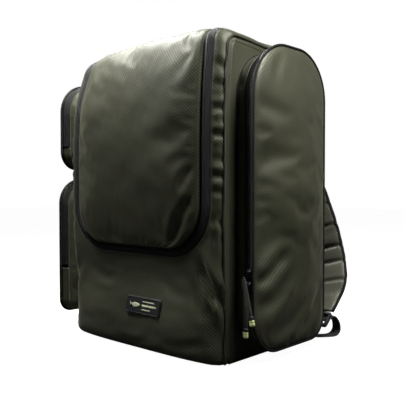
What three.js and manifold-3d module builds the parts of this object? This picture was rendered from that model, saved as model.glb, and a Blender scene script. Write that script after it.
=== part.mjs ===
// Tackle backpack: a boxy soft rucksack with a wrap-over front flap, one tall right
// pocket, two stacked left pockets, padded shoulder straps and a haul loop.
// Millimetres, +Z up, front at -Y, tall pocket at +X, origin under the middle of the base.
import * as THREE from 'three';
import { RoundedBoxGeometry } from 'three/addons/geometries/RoundedBoxGeometry.js';
import { mergeVertices } from 'three/addons/utils/BufferGeometryUtils.js';
import Module from 'manifold-3d';

const wasm = await Module();
wasm.setup();

// ---------------------------------------------------------------- driving dimensions
const GAP = 0.3; // clearance kept between touching pieces

const BAG_WIDTH = 360;
const BAG_DEPTH = 236;
const BAG_HEIGHT = 500;
const EDGE_RADIUS = 20; // rounding of the body's edges
const WALL = 8; // lined and padded fabric wall
const BASE_THICKNESS = 6;

const FLAP_HALF_WIDTH = 143;
const FLAP_BOTTOM = 176; // height of the flap's lower edge
const FLAP_CORNER = 66; // radius of its two lower corners
const FLAP_REAR = 86; // how far back the flap reaches over the top
const FLAP_PROUD = 8; // how far the flap stands off the body
const FLAP_SUNK = 4;
const ZIP_HALF = 9; // width of one half of the zip band
const TAPE_THICKNESS = 2.5;

const POCKET_WALL = 3;
const PIPING = 4; // width of the piping bead
const POCKETS = {
  right: {
    side: 1,
    depth: 46,
    front: -91,
    back: 104,
    bottom: 16,
    top: 486,
    radii: { topFront: 82, topBack: 78, bottomFront: 62, bottomBack: 40 },
    flare: 11,
    zipEnd: 98,
    sliderShift: 3.5,
    sliders: [
      { label: 'upper', height: 139, face: 'front', reach: 11, lean: 18 },
      { label: 'lower', height: 121, face: 'front', reach: 6.5, lean: 0 },
    ],
  },
  left_lower: {
    side: -1,
    depth: 72,
    front: -104,
    back: 104,
    bottom: 24,
    top: 281,
    radii: { topFront: 46, topBack: 46, bottomFront: 24, bottomBack: 24 },
    flare: 12,
    zipEnd: 112,
    sliderShift: 0,
    sliders: [{ label: '', height: 128, face: 'back', reach: 6.5, lean: 0 }],
  },
  left_upper: {
    side: -1,
    depth: 72,
    front: -100,
    back: 100,
    bottom: 302,
    top: 468,
    radii: { topFront: 56, topBack: 56, bottomFront: 34, bottomBack: 34 },
    flare: 14,
    zipEnd: 345,
    sliderShift: 0,
    sliders: [{ label: '', height: 361, face: 'back', reach: 6.5, lean: 0 }],
  },
};

const SLIDER = { length: 16, topWidth: 11, bottomWidth: 8, thickness: 4, bridge: 2.5 };
const PULL = {
  width: 8,
  thickness: 3,
  length: 56,
  shortLength: 45,
  head: 0.5, // how far a pull reaches past its pivot
  offset: 4, // distance of the pivot from the slider's middle
  tip: 15,
  tipWidth: 10,
  tipThickness: 5,
};
const TOP_SLIDERS = [
  { label: 'front', y: 0, pullToward: -1 },
  { label: 'rear', y: 24, pullToward: 1 },
];

const STIFFENERS = {
  boardThickness: 3,
  sheetThickness: 2.5,
  inset: 4,
  sheetInset: 18,
  sheetTop: 470,
  sheetCorner: 24,
};
const BADGE = { x: 25, z: 74, width: 80, height: 27, thickness: 2.5 };
const STRAP = { width: 70, thickness: 12 };
const WEBBING = { width: 25, thickness: 2 };
const LOCK = { width: 36, height: 30, thickness: 6, bar: 4.5, place: [190.5, 141.5, 33.5], slope: 51.5 };
const HAUL_LOOP = { width: 14, thickness: 5, stand: 4 };
const PADS = {
  thickness: 11,
  corner: 26,
  upper_back_pad: { half: 118, bottom: 200, top: 420 },
  lumbar_pad: { half: 132, bottom: 34, top: 168 },
};

const HALF_WIDTH = BAG_WIDTH / 2;
const HALF_DEPTH = BAG_DEPTH / 2;
const SIDE_SEAM = HALF_DEPTH - EDGE_RADIUS;
const TOP_SEAM = BAG_HEIGHT - EDGE_RADIUS;

// ---------------------------------------------------------------- materials
function finish(color, roughness, metalness = 0) {
  return new THREE.MeshStandardMaterial({ color, roughness, metalness });
}

const MATERIALS = {
  nylon: finish(0x43443a, 0.72),
  nylonFlap: finish(0x4a4b40, 0.7),
  tape: finish(0x141413, 0.8),
  piping: finish(0x191917, 0.7),
  metal: finish(0x26272a, 0.35, 0.8),
  pull: finish(0x2b2c26, 0.7),
  tip: finish(0xc5c890, 0.5),
  rubber: finish(0x17181a, 0.55),
  webbing: finish(0x16161a, 0.75),
  plastic: finish(0x101012, 0.4),
  board: finish(0x2a2a2c, 0.6),
  mesh: finish(0x1c1c1b, 0.9),
};

const backpack = new THREE.Group();

function add(name, geometry, material, parent = backpack) {
  const mesh = new THREE.Mesh(geometry, material);
  mesh.name = name;
  parent.add(mesh);
  return mesh;
}

// ---------------------------------------------------------------- solids
function solid(geometry) {
  const bare = geometry.clone();
  bare.deleteAttribute('normal');
  bare.deleteAttribute('uv');
  const merged = mergeVertices(bare, 1e-3);
  const mesh = new wasm.Mesh({
    numProp: 3,
    vertProperties: new Float32Array(merged.attributes.position.array),
    triVerts: new Uint32Array(merged.index.array),
  });
  return new wasm.Manifold(mesh);
}

function geometryOf(manifold) {
  const mesh = manifold.getMesh();
  const geometry = new THREE.BufferGeometry();
  geometry.setAttribute('position', new THREE.BufferAttribute(mesh.vertProperties, 3));
  geometry.setIndex(new THREE.BufferAttribute(mesh.triVerts, 1));
  geometry.computeVertexNormals();
  return geometry;
}

function boxGeometry([x0, x1], [y0, y1], [z0, z1]) {
  const box = new THREE.BoxGeometry(x1 - x0, y1 - y0, z1 - z0);
  return box.translate((x0 + x1) / 2, (y0 + y1) / 2, (z0 + z1) / 2);
}

const FAR = 400;
const ALL = [-FAR, FAR];

function region(x, y, z) {
  return solid(boxGeometry(x, y, z));
}

// The body's outer form, grown outward by an offset, with its underside left long.
function bagBlock(offset) {
  const below = 60;
  const width = BAG_WIDTH + 2 * offset;
  const depth = BAG_DEPTH + 2 * offset;
  const height = BAG_HEIGHT + offset + below;
  const box = new RoundedBoxGeometry(width, depth, height, 3, EDGE_RADIUS + offset);
  return solid(box.translate(0, 0, height / 2 - below));
}

function shellBetween(outside, inside) {
  return bagBlock(outside).subtract(bagBlock(inside));
}

// Turns a shape drawn in X and Z into a prism along Y.
function prismAlongY(shape, y0, y1, curveSegments = 8) {
  const prism = new THREE.ExtrudeGeometry(shape, {
    depth: y1 - y0,
    bevelEnabled: false,
    curveSegments,
  });
  return prism.rotateX(Math.PI / 2).translate(0, y1, 0);
}

function roundedShape(x0, x1, z0, z1, radius) {
  const shape = new THREE.Shape();
  shape.moveTo(x0 + radius, z0);
  shape.absarc(x1 - radius, z0 + radius, radius, -Math.PI / 2, 0);
  shape.absarc(x1 - radius, z1 - radius, radius, 0, Math.PI / 2);
  shape.absarc(x0 + radius, z1 - radius, radius, Math.PI / 2, Math.PI);
  shape.absarc(x0 + radius, z0 + radius, radius, Math.PI, 1.5 * Math.PI);
  return shape;
}

// The D-shaped door's outline as a cutter: straight sides, two round lower corners,
// open upward and back to the hinge line. Grown sideways and downward by an offset.
function doorPrism(offset, rear = FLAP_REAR) {
  const half = FLAP_HALF_WIDTH + offset;
  const bottom = FLAP_BOTTOM - offset;
  const radius = FLAP_CORNER + offset;
  const shape = new THREE.Shape();
  shape.moveTo(half, FAR * 2);
  shape.lineTo(-half, FAR * 2);
  shape.lineTo(-half, bottom + radius);
  shape.absarc(-half + radius, bottom + radius, radius, Math.PI, 1.5 * Math.PI);
  shape.absarc(half - radius, bottom + radius, radius, -Math.PI / 2, 0);
  return solid(prismAlongY(shape, -FAR, rear, 10));
}

// Joins equal closed rings of points into one closed body with flat ends.
function loft(rings) {
  const count = rings[0].length;
  const points = rings.flat();
  const first = new THREE.Vector3();
  const last = new THREE.Vector3();
  rings[0].forEach((point) => first.addScaledVector(point, 1 / count));
  rings[rings.length - 1].forEach((point) => last.addScaledVector(point, 1 / count));
  const firstIndex = points.length;
  points.push(first, last);
  const faces = [];
  for (let ring = 0; ring < rings.length - 1; ring += 1) {
    for (let i = 0; i < count; i += 1) {
      const a = ring * count + i;
      const b = ring * count + ((i + 1) % count);
      faces.push([a, b, b + count], [a, b + count, a + count]);
    }
  }
  const end = (rings.length - 1) * count;
  for (let i = 0; i < count; i += 1) {
    const next = (i + 1) % count;
    faces.push([firstIndex, next, i], [firstIndex + 1, end + i, end + next]);
  }
  let volume = 0;
  for (const [a, b, c] of faces) {
    volume += points[a].dot(points[b].clone().cross(points[c]));
  }
  const index = volume > 0 ? faces.flat() : faces.map(([a, b, c]) => [a, c, b]).flat();
  const geometry = new THREE.BufferGeometry().setFromPoints(points);
  geometry.setIndex(index);
  geometry.computeVertexNormals();
  return geometry;
}

// A flat strip of a given width that follows hand-placed points.
function turnAt(turns, share) {
  const after = Math.max(1, turns.findIndex(([at]) => at >= share));
  const [from, low] = turns[after - 1];
  const [to, high] = turns[after];
  return THREE.MathUtils.degToRad(low + (high - low) * (share - from) / (to - from));
}

function ribbon(points, width, thickness, steps, bevel = 0, turns = [[0, 0], [1, 0]]) {
  const curve = new THREE.CatmullRomCurve3(points.map((p) => new THREE.Vector3(...p)));
  const half = width / 2;
  const flat = thickness / 2;
  const section = bevel
    ? [
      [half - bevel, -flat], [half, -flat + bevel], [half, flat - bevel], [half - bevel, flat],
      [-half + bevel, flat], [-half, flat - bevel], [-half, -flat + bevel], [-half + bevel, -flat],
    ]
    : [[half, -flat], [half, flat], [-half, flat], [-half, -flat]];
  const rings = [];
  for (let i = 0; i <= steps; i += 1) {
    const centre = curve.getPointAt(i / steps);
    const along = curve.getTangentAt(i / steps);
    const turn = turnAt(turns, i / steps);
    const level = new THREE.Vector3(Math.cos(turn), Math.sin(turn), 0);
    const across = level.clone().addScaledVector(along, -along.dot(level)).normalize();
    const normal = new THREE.Vector3().crossVectors(along, across);
    const place = ([u, v]) => centre.clone().addScaledVector(across, u).addScaledVector(normal, v);
    rings.push(section.map(place));
  }
  return loft(rings);
}

// ---------------------------------------------------------------- body shell
function addBody() {
  const wall = shellBetween(0, -WALL);
  const above = BASE_THICKNESS + GAP;
  const half = GAP / 2;
  const opening = doorPrism(2 * ZIP_HALF + GAP, FLAP_REAR + GAP);

  const base = bagBlock(0).intersect(region(ALL, ALL, [0, BASE_THICKNESS]));
  add('base_panel', geometryOf(base), MATERIALS.nylon);

  const front = wall
    .intersect(region(ALL, [-FAR, -SIDE_SEAM - half], [above, TOP_SEAM - half]))
    .subtract(opening);
  add('front_panel', geometryOf(front), MATERIALS.nylon);

  const back = wall.intersect(region(ALL, [SIDE_SEAM + half, FAR], [above, TOP_SEAM - half]));
  add('back_panel', geometryOf(back), MATERIALS.nylon);

  const top = wall.intersect(region(ALL, ALL, [TOP_SEAM + half, FAR * 2])).subtract(opening);
  add('top_panel', geometryOf(top), MATERIALS.nylon);

  const sideDepth = [-SIDE_SEAM + half, SIDE_SEAM - half];
  const sideHeight = [above, TOP_SEAM - half];
  add(
    'right_side_panel',
    boxGeometry([HALF_WIDTH - WALL, HALF_WIDTH], sideDepth, sideHeight),
    MATERIALS.nylon,
  );
  add(
    'left_side_panel',
    boxGeometry([-HALF_WIDTH, -HALF_WIDTH + WALL], sideDepth, sideHeight),
    MATERIALS.nylon,
  );
}

// Piping beads over the seams between the side panels and the wrap of front and top.
function addCornerPiping() {
  const radius = 2;
  const bend = 14;
  const stand = HALF_WIDTH + radius + GAP;
  const section = new THREE.Shape();
  section.absarc(0, 0, radius, 0, 2 * Math.PI);
  for (const [label, sign] of [['right', 1], ['left', -1]]) {
    const x = sign * stand;
    const path = new THREE.CurvePath();
    const foot = new THREE.Vector3(x, -SIDE_SEAM, 2);
    const rise = new THREE.Vector3(x, -SIDE_SEAM, TOP_SEAM - bend);
    const corner = new THREE.Vector3(x, -SIDE_SEAM, TOP_SEAM);
    const over = new THREE.Vector3(x, -SIDE_SEAM + bend, TOP_SEAM);
    const rear = new THREE.Vector3(x, SIDE_SEAM, TOP_SEAM);
    path.add(new THREE.LineCurve3(foot, rise));
    path.add(new THREE.QuadraticBezierCurve3(rise, corner, over));
    path.add(new THREE.LineCurve3(over, rear));
    const bead = new THREE.ExtrudeGeometry(section, {
      steps: 22,
      curveSegments: 6,
      extrudePath: path,
    });
    add(`corner_piping_${label}`, bead, MATERIALS.piping);
  }
}

// A board on the floor inside and a sheet against the back, both hidden by the lining.
function addStiffeners() {
  const { boardThickness, sheetThickness, inset, sheetInset, sheetTop, sheetCorner } = STIFFENERS;
  const halfWidth = HALF_WIDTH - WALL - inset;
  const halfDepth = HALF_DEPTH - WALL - inset;
  const bottom = BASE_THICKNESS + GAP;
  const boardTop = bottom + boardThickness;
  const board = boxGeometry([-halfWidth, halfWidth], [-halfDepth, halfDepth], [bottom, boardTop]);
  add('base_board', board, MATERIALS.board);

  const half = HALF_WIDTH - WALL - sheetInset;
  const sheet = roundedShape(-half, half, boardTop + 2, sheetTop, sheetCorner);
  const back = HALF_DEPTH - WALL - GAP;
  add('frame_sheet', prismAlongY(sheet, back - sheetThickness, back), MATERIALS.board);
}

function addBadge() {
  const { x, z, width, height, thickness } = BADGE;
  const shape = roundedShape(x - width / 2, x + width / 2, z - height / 2, z + height / 2, 4);
  const faceY = -HALF_DEPTH - GAP;
  add('badge', prismAlongY(shape, faceY - thickness, faceY), MATERIALS.rubber);
}

// ---------------------------------------------------------------- wrap-over flap
function addFlap() {
  const rear = FLAP_REAR;
  const flap = shellBetween(FLAP_PROUD, -FLAP_SUNK).intersect(doorPrism(0, rear));
  add('front_flap', geometryOf(flap), MATERIALS.nylonFlap);

  const tape = shellBetween(0, -TAPE_THICKNESS);
  const flapHalf = doorPrism(ZIP_HALF, rear).subtract(doorPrism(GAP, rear + 1));
  add('main_zip_flap_tape', geometryOf(tape.intersect(flapHalf)), MATERIALS.tape);

  const bodyHalf = doorPrism(2 * ZIP_HALF, rear).subtract(doorPrism(ZIP_HALF + GAP, rear + 1));
  add('main_zip_body_tape', geometryOf(tape.intersect(bodyHalf)), MATERIALS.tape);
}

// ---------------------------------------------------------------- side pockets
function pocketOutline(pocket, inset) {
  const { front, back, bottom, top, radii } = pocket;
  const corners = [
    [back, bottom, -1, 1, radii.bottomBack, -90, 5],
    [back, top, -1, -1, radii.topBack, 0, 8],
    [front, top, 1, -1, radii.topFront, 90, 8],
    [front, bottom, 1, 1, radii.bottomFront, 180, 5],
  ];
  const outline = [];
  for (const [y, z, inwardY, inwardZ, radius, start, steps] of corners) {
    const arc = Math.max(radius - inset, 1);
    const centreY = y + inwardY * (inset + arc);
    const centreZ = z + inwardZ * (inset + arc);
    for (let i = 0; i <= steps; i += 1) {
      const angle = THREE.MathUtils.degToRad(start + (90 * i) / steps);
      outline.push([centreY + arc * Math.cos(angle), centreZ + arc * Math.sin(angle)]);
    }
  }
  return outline;
}

// How much smaller the pocket is than its outer face at a distance out from the body.
function flareAt(pocket, out) {
  return pocket.flare * (1 - out / pocket.depth);
}

function pocketLoft(pocket, stations) {
  const rings = stations.map(([out, inset]) => {
    const x = pocket.side * (HALF_WIDTH + out);
    const outline = pocketOutline(pocket, inset + flareAt(pocket, out));
    return outline.map(([y, z]) => new THREE.Vector3(x, y, z));
  });
  return solid(loft(rings));
}

function pocketRing(pocket, from, to, inset, wall) {
  const outer = pocketLoft(pocket, [[from, inset], [to, inset]]);
  const inner = pocketLoft(pocket, [[from - 1, inset + wall], [to + 1, inset + wall]]);
  return outer.subtract(inner);
}

function addPocket(label, pocket) {
  const { depth, zipEnd } = pocket;
  const zipStart = depth - 28;
  const zipMiddle = depth - 18;
  const faceStart = depth - 8;
  const below = region(ALL, ALL, [-FAR, zipEnd - GAP / 2]);
  const above = region(ALL, ALL, [zipEnd + GAP / 2, FAR * 2]);
  const group = new THREE.Group();
  backpack.add(group);

  const lowerGusset = pocketRing(pocket, zipStart - 2, faceStart - GAP, 0, POCKET_WALL);
  const gusset = pocketRing(pocket, GAP, zipStart, 0, POCKET_WALL).add(lowerGusset.intersect(below));
  add(`${label}_pocket_gusset`, geometryOf(gusset), MATERIALS.nylon, group);

  const bodyTape = pocketRing(pocket, zipStart + GAP, zipMiddle, 0, POCKET_WALL);
  add(`${label}_pocket_body_tape`, geometryOf(bodyTape.intersect(above)), MATERIALS.tape, group);

  const doorTape = pocketRing(pocket, zipMiddle + GAP, faceStart - GAP, 0, POCKET_WALL);
  add(`${label}_pocket_door_tape`, geometryOf(doorTape.intersect(above)), MATERIALS.tape, group);

  const crown = [[faceStart, 0], [depth - 4, 0], [depth - 1.2, 7], [depth, 22]];
  const face = pocketLoft(pocket, crown);
  add(`${label}_pocket_door`, geometryOf(face.intersect(above)), MATERIALS.nylon, group);
  add(`${label}_pocket_lower_face`, geometryOf(face.intersect(below)), MATERIALS.nylon, group);

  const piping = pocketRing(pocket, faceStart, faceStart + PIPING, -PIPING - GAP, PIPING);
  add(`${label}_pocket_door_piping`, geometryOf(piping.intersect(above)), MATERIALS.piping, group);
  if (label === 'right') {
    const rest = piping.intersect(below);
    add(`${label}_pocket_lower_piping`, geometryOf(rest), MATERIALS.piping, group);
  }
}

// ---------------------------------------------------------------- zip sliders and pulls
// Drawn with travel along Z, the outside at -Y and the tape plane at Y = 0.
function sliderGeometry() {
  const { length, topWidth, bottomWidth, thickness, bridge } = SLIDER;
  const plan = new THREE.Shape();
  plan.moveTo(-bottomWidth / 2, -length / 2);
  plan.lineTo(bottomWidth / 2, -length / 2);
  plan.lineTo(topWidth / 2, length / 2 - 3);
  plan.lineTo(topWidth / 2 - 2, length / 2);
  plan.lineTo(-topWidth / 2 + 2, length / 2);
  plan.lineTo(-topWidth / 2, length / 2 - 3);
  const body = prismAlongY(plan, -thickness, 0);
  const rib = boxGeometry([-1.5, 1.5], [-thickness - bridge, -thickness + 1], [-5, 5]);
  return geometryOf(solid(body).add(solid(rib)));
}

// A flat tape pull that hangs from its top end at the origin.
function pullGeometry(length) {
  const { width, thickness, head } = PULL;
  const shape = roundedShape(-width / 2, width / 2, -length, head, 2);
  return prismAlongY(shape, -thickness / 2, thickness / 2, 4);
}

function tipGeometry() {
  const { length, tip, tipWidth, tipThickness } = PULL;
  const shape = roundedShape(-tipWidth / 2, tipWidth / 2, -length - GAP - tip, -length - GAP, 3);
  return prismAlongY(shape, -tipThickness / 2, tipThickness / 2, 4);
}

function addPocketSliders(label, pocket) {
  const trackOut = pocket.depth - 18 + pocket.sliderShift;
  const shrink = flareAt(pocket, trackOut);
  const tilt = Math.atan(pocket.flare / pocket.depth);
  for (const { label: which, height, face, reach, lean } of pocket.sliders) {
    const front = face === 'front';
    const place = new THREE.Group();
    const outward = front ? -1 : 1;
    const y = front ? pocket.front + shrink : pocket.back - shrink;
    place.position.set(pocket.side * (HALF_WIDTH + trackOut), y + outward * 2 * GAP, height);
    place.rotation.z = front ? -pocket.side * tilt : Math.PI + pocket.side * tilt;
    backpack.add(place);
    const suffix = which ? `_${which}` : '';
    add(`${label}_pocket${suffix}_slider`, sliderGeometry(), MATERIALS.metal, place);

    const hang = new THREE.Group();
    hang.position.set(0, -reach - PULL.thickness / 2 - GAP, -PULL.offset);
    hang.rotation.y = -THREE.MathUtils.degToRad(lean);
    place.add(hang);
    const separateTip = label === 'right';
    const length = separateTip ? PULL.length : PULL.shortLength;
    add(`${label}_pocket${suffix}_pull`, pullGeometry(length), MATERIALS.pull, hang);
    if (separateTip) {
      add(`${label}_pocket${suffix}_pull_tip`, tipGeometry(), MATERIALS.tip, hang);
    }
  }
}

function addTopSliders() {
  const x = -FLAP_HALF_WIDTH - ZIP_HALF;
  for (const { label, y, pullToward } of TOP_SLIDERS) {
    const place = new THREE.Group();
    place.position.set(x, y, BAG_HEIGHT + GAP);
    place.rotation.x = -Math.PI / 2;
    backpack.add(place);
    add(`main_zip_${label}_slider`, sliderGeometry(), MATERIALS.metal, place);

    const lie = new THREE.Group();
    const rise = SLIDER.thickness + SLIDER.bridge + GAP + PULL.thickness / 2;
    lie.position.set(0, -rise, PULL.offset * pullToward);
    lie.rotation.x = pullToward > 0 ? Math.PI : 0;
    place.add(lie);
    add(`main_zip_${label}_pull`, pullGeometry(PULL.shortLength), MATERIALS.pull, lie);
  }
}

// ---------------------------------------------------------------- harness
// Centre line of a shoulder strap, from its top anchor down to its lower end.
const STRAP_ROUTE = [
  [72, 119.5, 438], [72, 130, 438], [73, 146, 435], [76, 170, 414], [88, 190, 362], [106, 202, 305],
  [128, 209, 245], [148, 212, 188], [163, 209, 138], [177, 194, 92], [187, 174, 62], [190, 164, 53],
  [190.5, 156, 46],
];
// Webbing from the body's lower rear corner to the lower bar of the ladder lock.
const LOWER_WEBBING_ROUTE = [[171, 121.5, 11], [174, 122.5, 11.8], [177, 124, 13], [180, 125.5, 14.5]];
// Free tail: out of the ladder lock, over in a loop, and back along the floor.
const TAIL_ROUTE = [
  [193, 152, 33], [195.8, 158.4, 36.3], [198.7, 164.8, 36.6], [201.1, 170.3, 32.5], [202.8, 173.9, 25.5],
  [203.6, 175.8, 17], [203.2, 174.9, 9], [201.1, 170.3, 3.4], [197.9, 163, 1.5], [192.9, 154.1, 1.5],
  [186.3, 146.4, 1.5], [178.3, 140.1, 1.5], [169.3, 135.4, 1.5], [159.5, 132.5, 1.5], [149.4, 131.5, 1.5],
  [137, 131.5, 1.5], [125, 131.5, 1.5], [113, 131.5, 1.5], [101, 131.5, 1.5], [84, 131.5, 1.5],
];
const TAIL_STEPS = 72;
// The tail's width turned about the vertical, in degrees, at each share of its length.
const TAIL_TURNS = [[0, 0], [0.12, -24], [0.33, -24], [0.66, -90], [1, -90]];

function mirrored(route, sign) {
  return route.map(([x, y, z]) => [sign * x, y, z]);
}

function ladderLockGeometry() {
  const { width, height, thickness, bar } = LOCK;
  const shape = roundedShape(-width / 2, width / 2, -height / 2, height / 2, 4);
  const slotHeight = (height - 3 * bar) / 2;
  for (const bottom of [-height / 2 + bar, bar / 2]) {
    const slot = roundedShape(-width / 2 + bar, width / 2 - bar, bottom, bottom + slotHeight, 1);
    shape.holes.push(slot);
  }
  return prismAlongY(shape, -thickness / 2, thickness / 2, 4);
}

function addHarness() {
  for (const [label, sign] of [['right', 1], ['left', -1]]) {
    add(
      `shoulder_strap_${label}`,
      ribbon(mirrored(STRAP_ROUTE, sign), STRAP.width, STRAP.thickness, 26, 3),
      MATERIALS.mesh,
    );
    const lock = add(`ladder_lock_${label}`, ladderLockGeometry(), MATERIALS.plastic);
    const turns = TAIL_TURNS.map(([at, turn]) => [at, sign * turn]);
    const [x, y, z] = LOCK.place;
    lock.position.set(sign * x, y, z);
    lock.rotation.x = -THREE.MathUtils.degToRad(LOCK.slope);
    add(
      `lower_webbing_${label}`,
      ribbon(mirrored(LOWER_WEBBING_ROUTE, sign), WEBBING.width, WEBBING.thickness, 8),
      MATERIALS.webbing,
    );
    add(
      `webbing_tail_${label}`,
      ribbon(mirrored(TAIL_ROUTE, sign), WEBBING.width, WEBBING.thickness, TAIL_STEPS, 0, turns),
      MATERIALS.webbing,
    );
  }
}

function addHaulLoop() {
  const { width, thickness, stand } = HAUL_LOOP;
  const section = roundedShape(-thickness / 2, thickness / 2, -width / 2, width / 2, 2);
  const hang = HALF_DEPTH + stand;
  const route = [
    [-40, hang, 488], [-40, hang, 474], [-36, hang, 462], [-24, hang, 453], [0, hang, 450],
    [24, hang, 453], [36, hang, 462], [40, hang, 474], [40, hang, 488],
  ];
  const path = new THREE.CatmullRomCurve3(route.map((p) => new THREE.Vector3(...p)));
  const options = { steps: 14, curveSegments: 2, extrudePath: path };
  add('haul_loop', new THREE.ExtrudeGeometry(section, options), MATERIALS.webbing);
}

function addBackPads() {
  const face = HALF_DEPTH + GAP;
  const { thickness, corner } = PADS;
  for (const name of ['upper_back_pad', 'lumbar_pad']) {
    const { half, bottom, top } = PADS[name];
    const shape = roundedShape(-half, half, bottom, top, corner);
    add(name, prismAlongY(shape, face, face + thickness, 5), MATERIALS.mesh);
  }
}

addBody();
addCornerPiping();
addStiffeners();
addBadge();
addFlap();
for (const [label, pocket] of Object.entries(POCKETS)) {
  addPocket(label, pocket);
  addPocketSliders(label, pocket);
}
addTopSliders();
addHarness();
addHaulLoop();
addBackPads();

export default backpack;
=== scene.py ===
import math

import bmesh
import bpy
import numpy as np
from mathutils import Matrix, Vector


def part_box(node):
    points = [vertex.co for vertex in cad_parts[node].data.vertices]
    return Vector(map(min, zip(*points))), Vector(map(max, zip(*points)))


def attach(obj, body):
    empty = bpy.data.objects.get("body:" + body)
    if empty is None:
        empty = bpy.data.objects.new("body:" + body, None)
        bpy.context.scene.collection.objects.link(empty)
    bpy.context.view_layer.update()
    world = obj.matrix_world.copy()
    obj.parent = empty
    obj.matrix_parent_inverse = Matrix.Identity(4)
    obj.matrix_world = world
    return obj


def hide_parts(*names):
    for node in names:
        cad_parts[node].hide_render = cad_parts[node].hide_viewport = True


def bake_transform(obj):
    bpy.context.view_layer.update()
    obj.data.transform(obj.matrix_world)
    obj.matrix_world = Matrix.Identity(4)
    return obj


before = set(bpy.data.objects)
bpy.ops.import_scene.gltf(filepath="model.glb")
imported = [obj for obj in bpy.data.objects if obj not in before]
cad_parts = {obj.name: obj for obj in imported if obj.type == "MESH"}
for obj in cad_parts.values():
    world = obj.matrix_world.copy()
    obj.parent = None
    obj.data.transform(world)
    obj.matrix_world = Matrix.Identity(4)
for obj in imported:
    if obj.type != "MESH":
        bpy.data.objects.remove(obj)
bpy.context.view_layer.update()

MM = 0.001

# ------------------------------------------------------------------ sizes taken from the frame


def span(node):
    """Lowest and highest corner of a CAD node, as arrays."""
    low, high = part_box(node)
    return np.array(low), np.array(high)


body_low, body_high = span("base_panel")
flap_low, flap_high = span("front_flap")
HALF_WIDTH = body_high[0]
FRONT = body_low[1]
BACK = body_high[1]
TOP = span("top_panel")[1][2]
EDGE = 20 * MM  # rounding of the body's long edges
SEAM_HEIGHT = TOP - EDGE
ARC = EDGE * math.pi / 2
GIRTH = HALF_WIDTH - EDGE + ARC  # half the wrap's width, measured over its rounded edges

V_TOP = SEAM_HEIGHT + ARC  # where the wrap turns flat on top
V_BACK = V_TOP + (BACK - FRONT - 2 * EDGE)
V_END = V_BACK + ARC + SEAM_HEIGHT

FLAP_HALF = flap_high[0]
FLAP_BOTTOM = flap_low[2]
FLAP_CORNER = 66 * MM
FLAP_REAR = flap_high[1]
CORNER_ROUND = 9 * MM  # how softly the side seams turn over the top corners
V_HINGE = V_TOP + (FLAP_REAR - (FRONT + EDGE))
ZIP_HALF = 9 * MM


# ------------------------------------------------------------------ camera, light and floor

CAMERA_AZIMUTH = math.radians(42.4)
CAMERA_PITCH = math.radians(-1.44)
CAMERA_PLACE = (0.7562, -0.7908, 0.2686)
FOCAL_PIXELS = 604.9
PICTURE = 403


AMBIENT = 0.03
FLOOR_REACH = 6.0
FLOOR_DROP = 0.6 * MM  # keeps the floor just clear of the base
FLOOR_ROUGHNESS = 0.9
FLOOR_SHADE = (0.035, 0.035, 0.035, 1)
FLOOR_SEEN = (0.3, 0.3, 0.3, 1)
FLOOR_GLOW = 0.97
# Each light: name, place, what it points at, size in metres, power in watts.
LIGHTS = (
    ("key", (-0.34, -0.215, 1.05), (0, -0.15, 0.3), (0.7, 0.16), 25),
    ("front_left", (-1.3, -1.3, 0.8), (0, 0, 0.3), (0.5, 0.9), 0.8),
    ("right_high", (0.60, -0.05, 0.90), (0.2, 0, 0.3), (0.25, 0.4), 10),
    ("behind", (0.75, 1.3, 0.9), (0.15, 0.15, 0.25), (0.8, 0.8), 0.6),
)


def add_camera():
    data = bpy.data.cameras.new("camera")
    data.sensor_width = 36
    data.lens = FOCAL_PIXELS / PICTURE * data.sensor_width
    camera = bpy.data.objects.new("camera", data)
    camera.location = CAMERA_PLACE
    camera.rotation_euler = (math.pi / 2 + CAMERA_PITCH, 0, CAMERA_AZIMUTH)
    bpy.context.scene.collection.objects.link(camera)
    bpy.context.scene.camera = camera


def add_area_light(name, place, target, size, power):
    data = bpy.data.lights.new(name, "AREA")
    data.shape = "RECTANGLE"
    data.size, data.size_y = size
    data.energy = power
    light = bpy.data.objects.new(name, data)
    light.location = place
    light.rotation_euler = (Vector(target) - Vector(place)).to_track_quat("-Z", "Y").to_euler()
    bpy.context.scene.collection.objects.link(light)


def seen_white(tree, plain, bright, output, socket):
    """The backdrop looks white, and lights the object as the plain shader does."""
    path = tree.nodes.new("ShaderNodeLightPath")
    mix = tree.nodes.new("ShaderNodeMixShader")
    tree.links.new(path.outputs["Is Camera Ray"], mix.inputs[0])
    tree.links.new(plain.outputs[0], mix.inputs[1])
    tree.links.new(bright.outputs[0], mix.inputs[2])
    tree.links.new(mix.outputs[0], output.inputs[socket])


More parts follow.
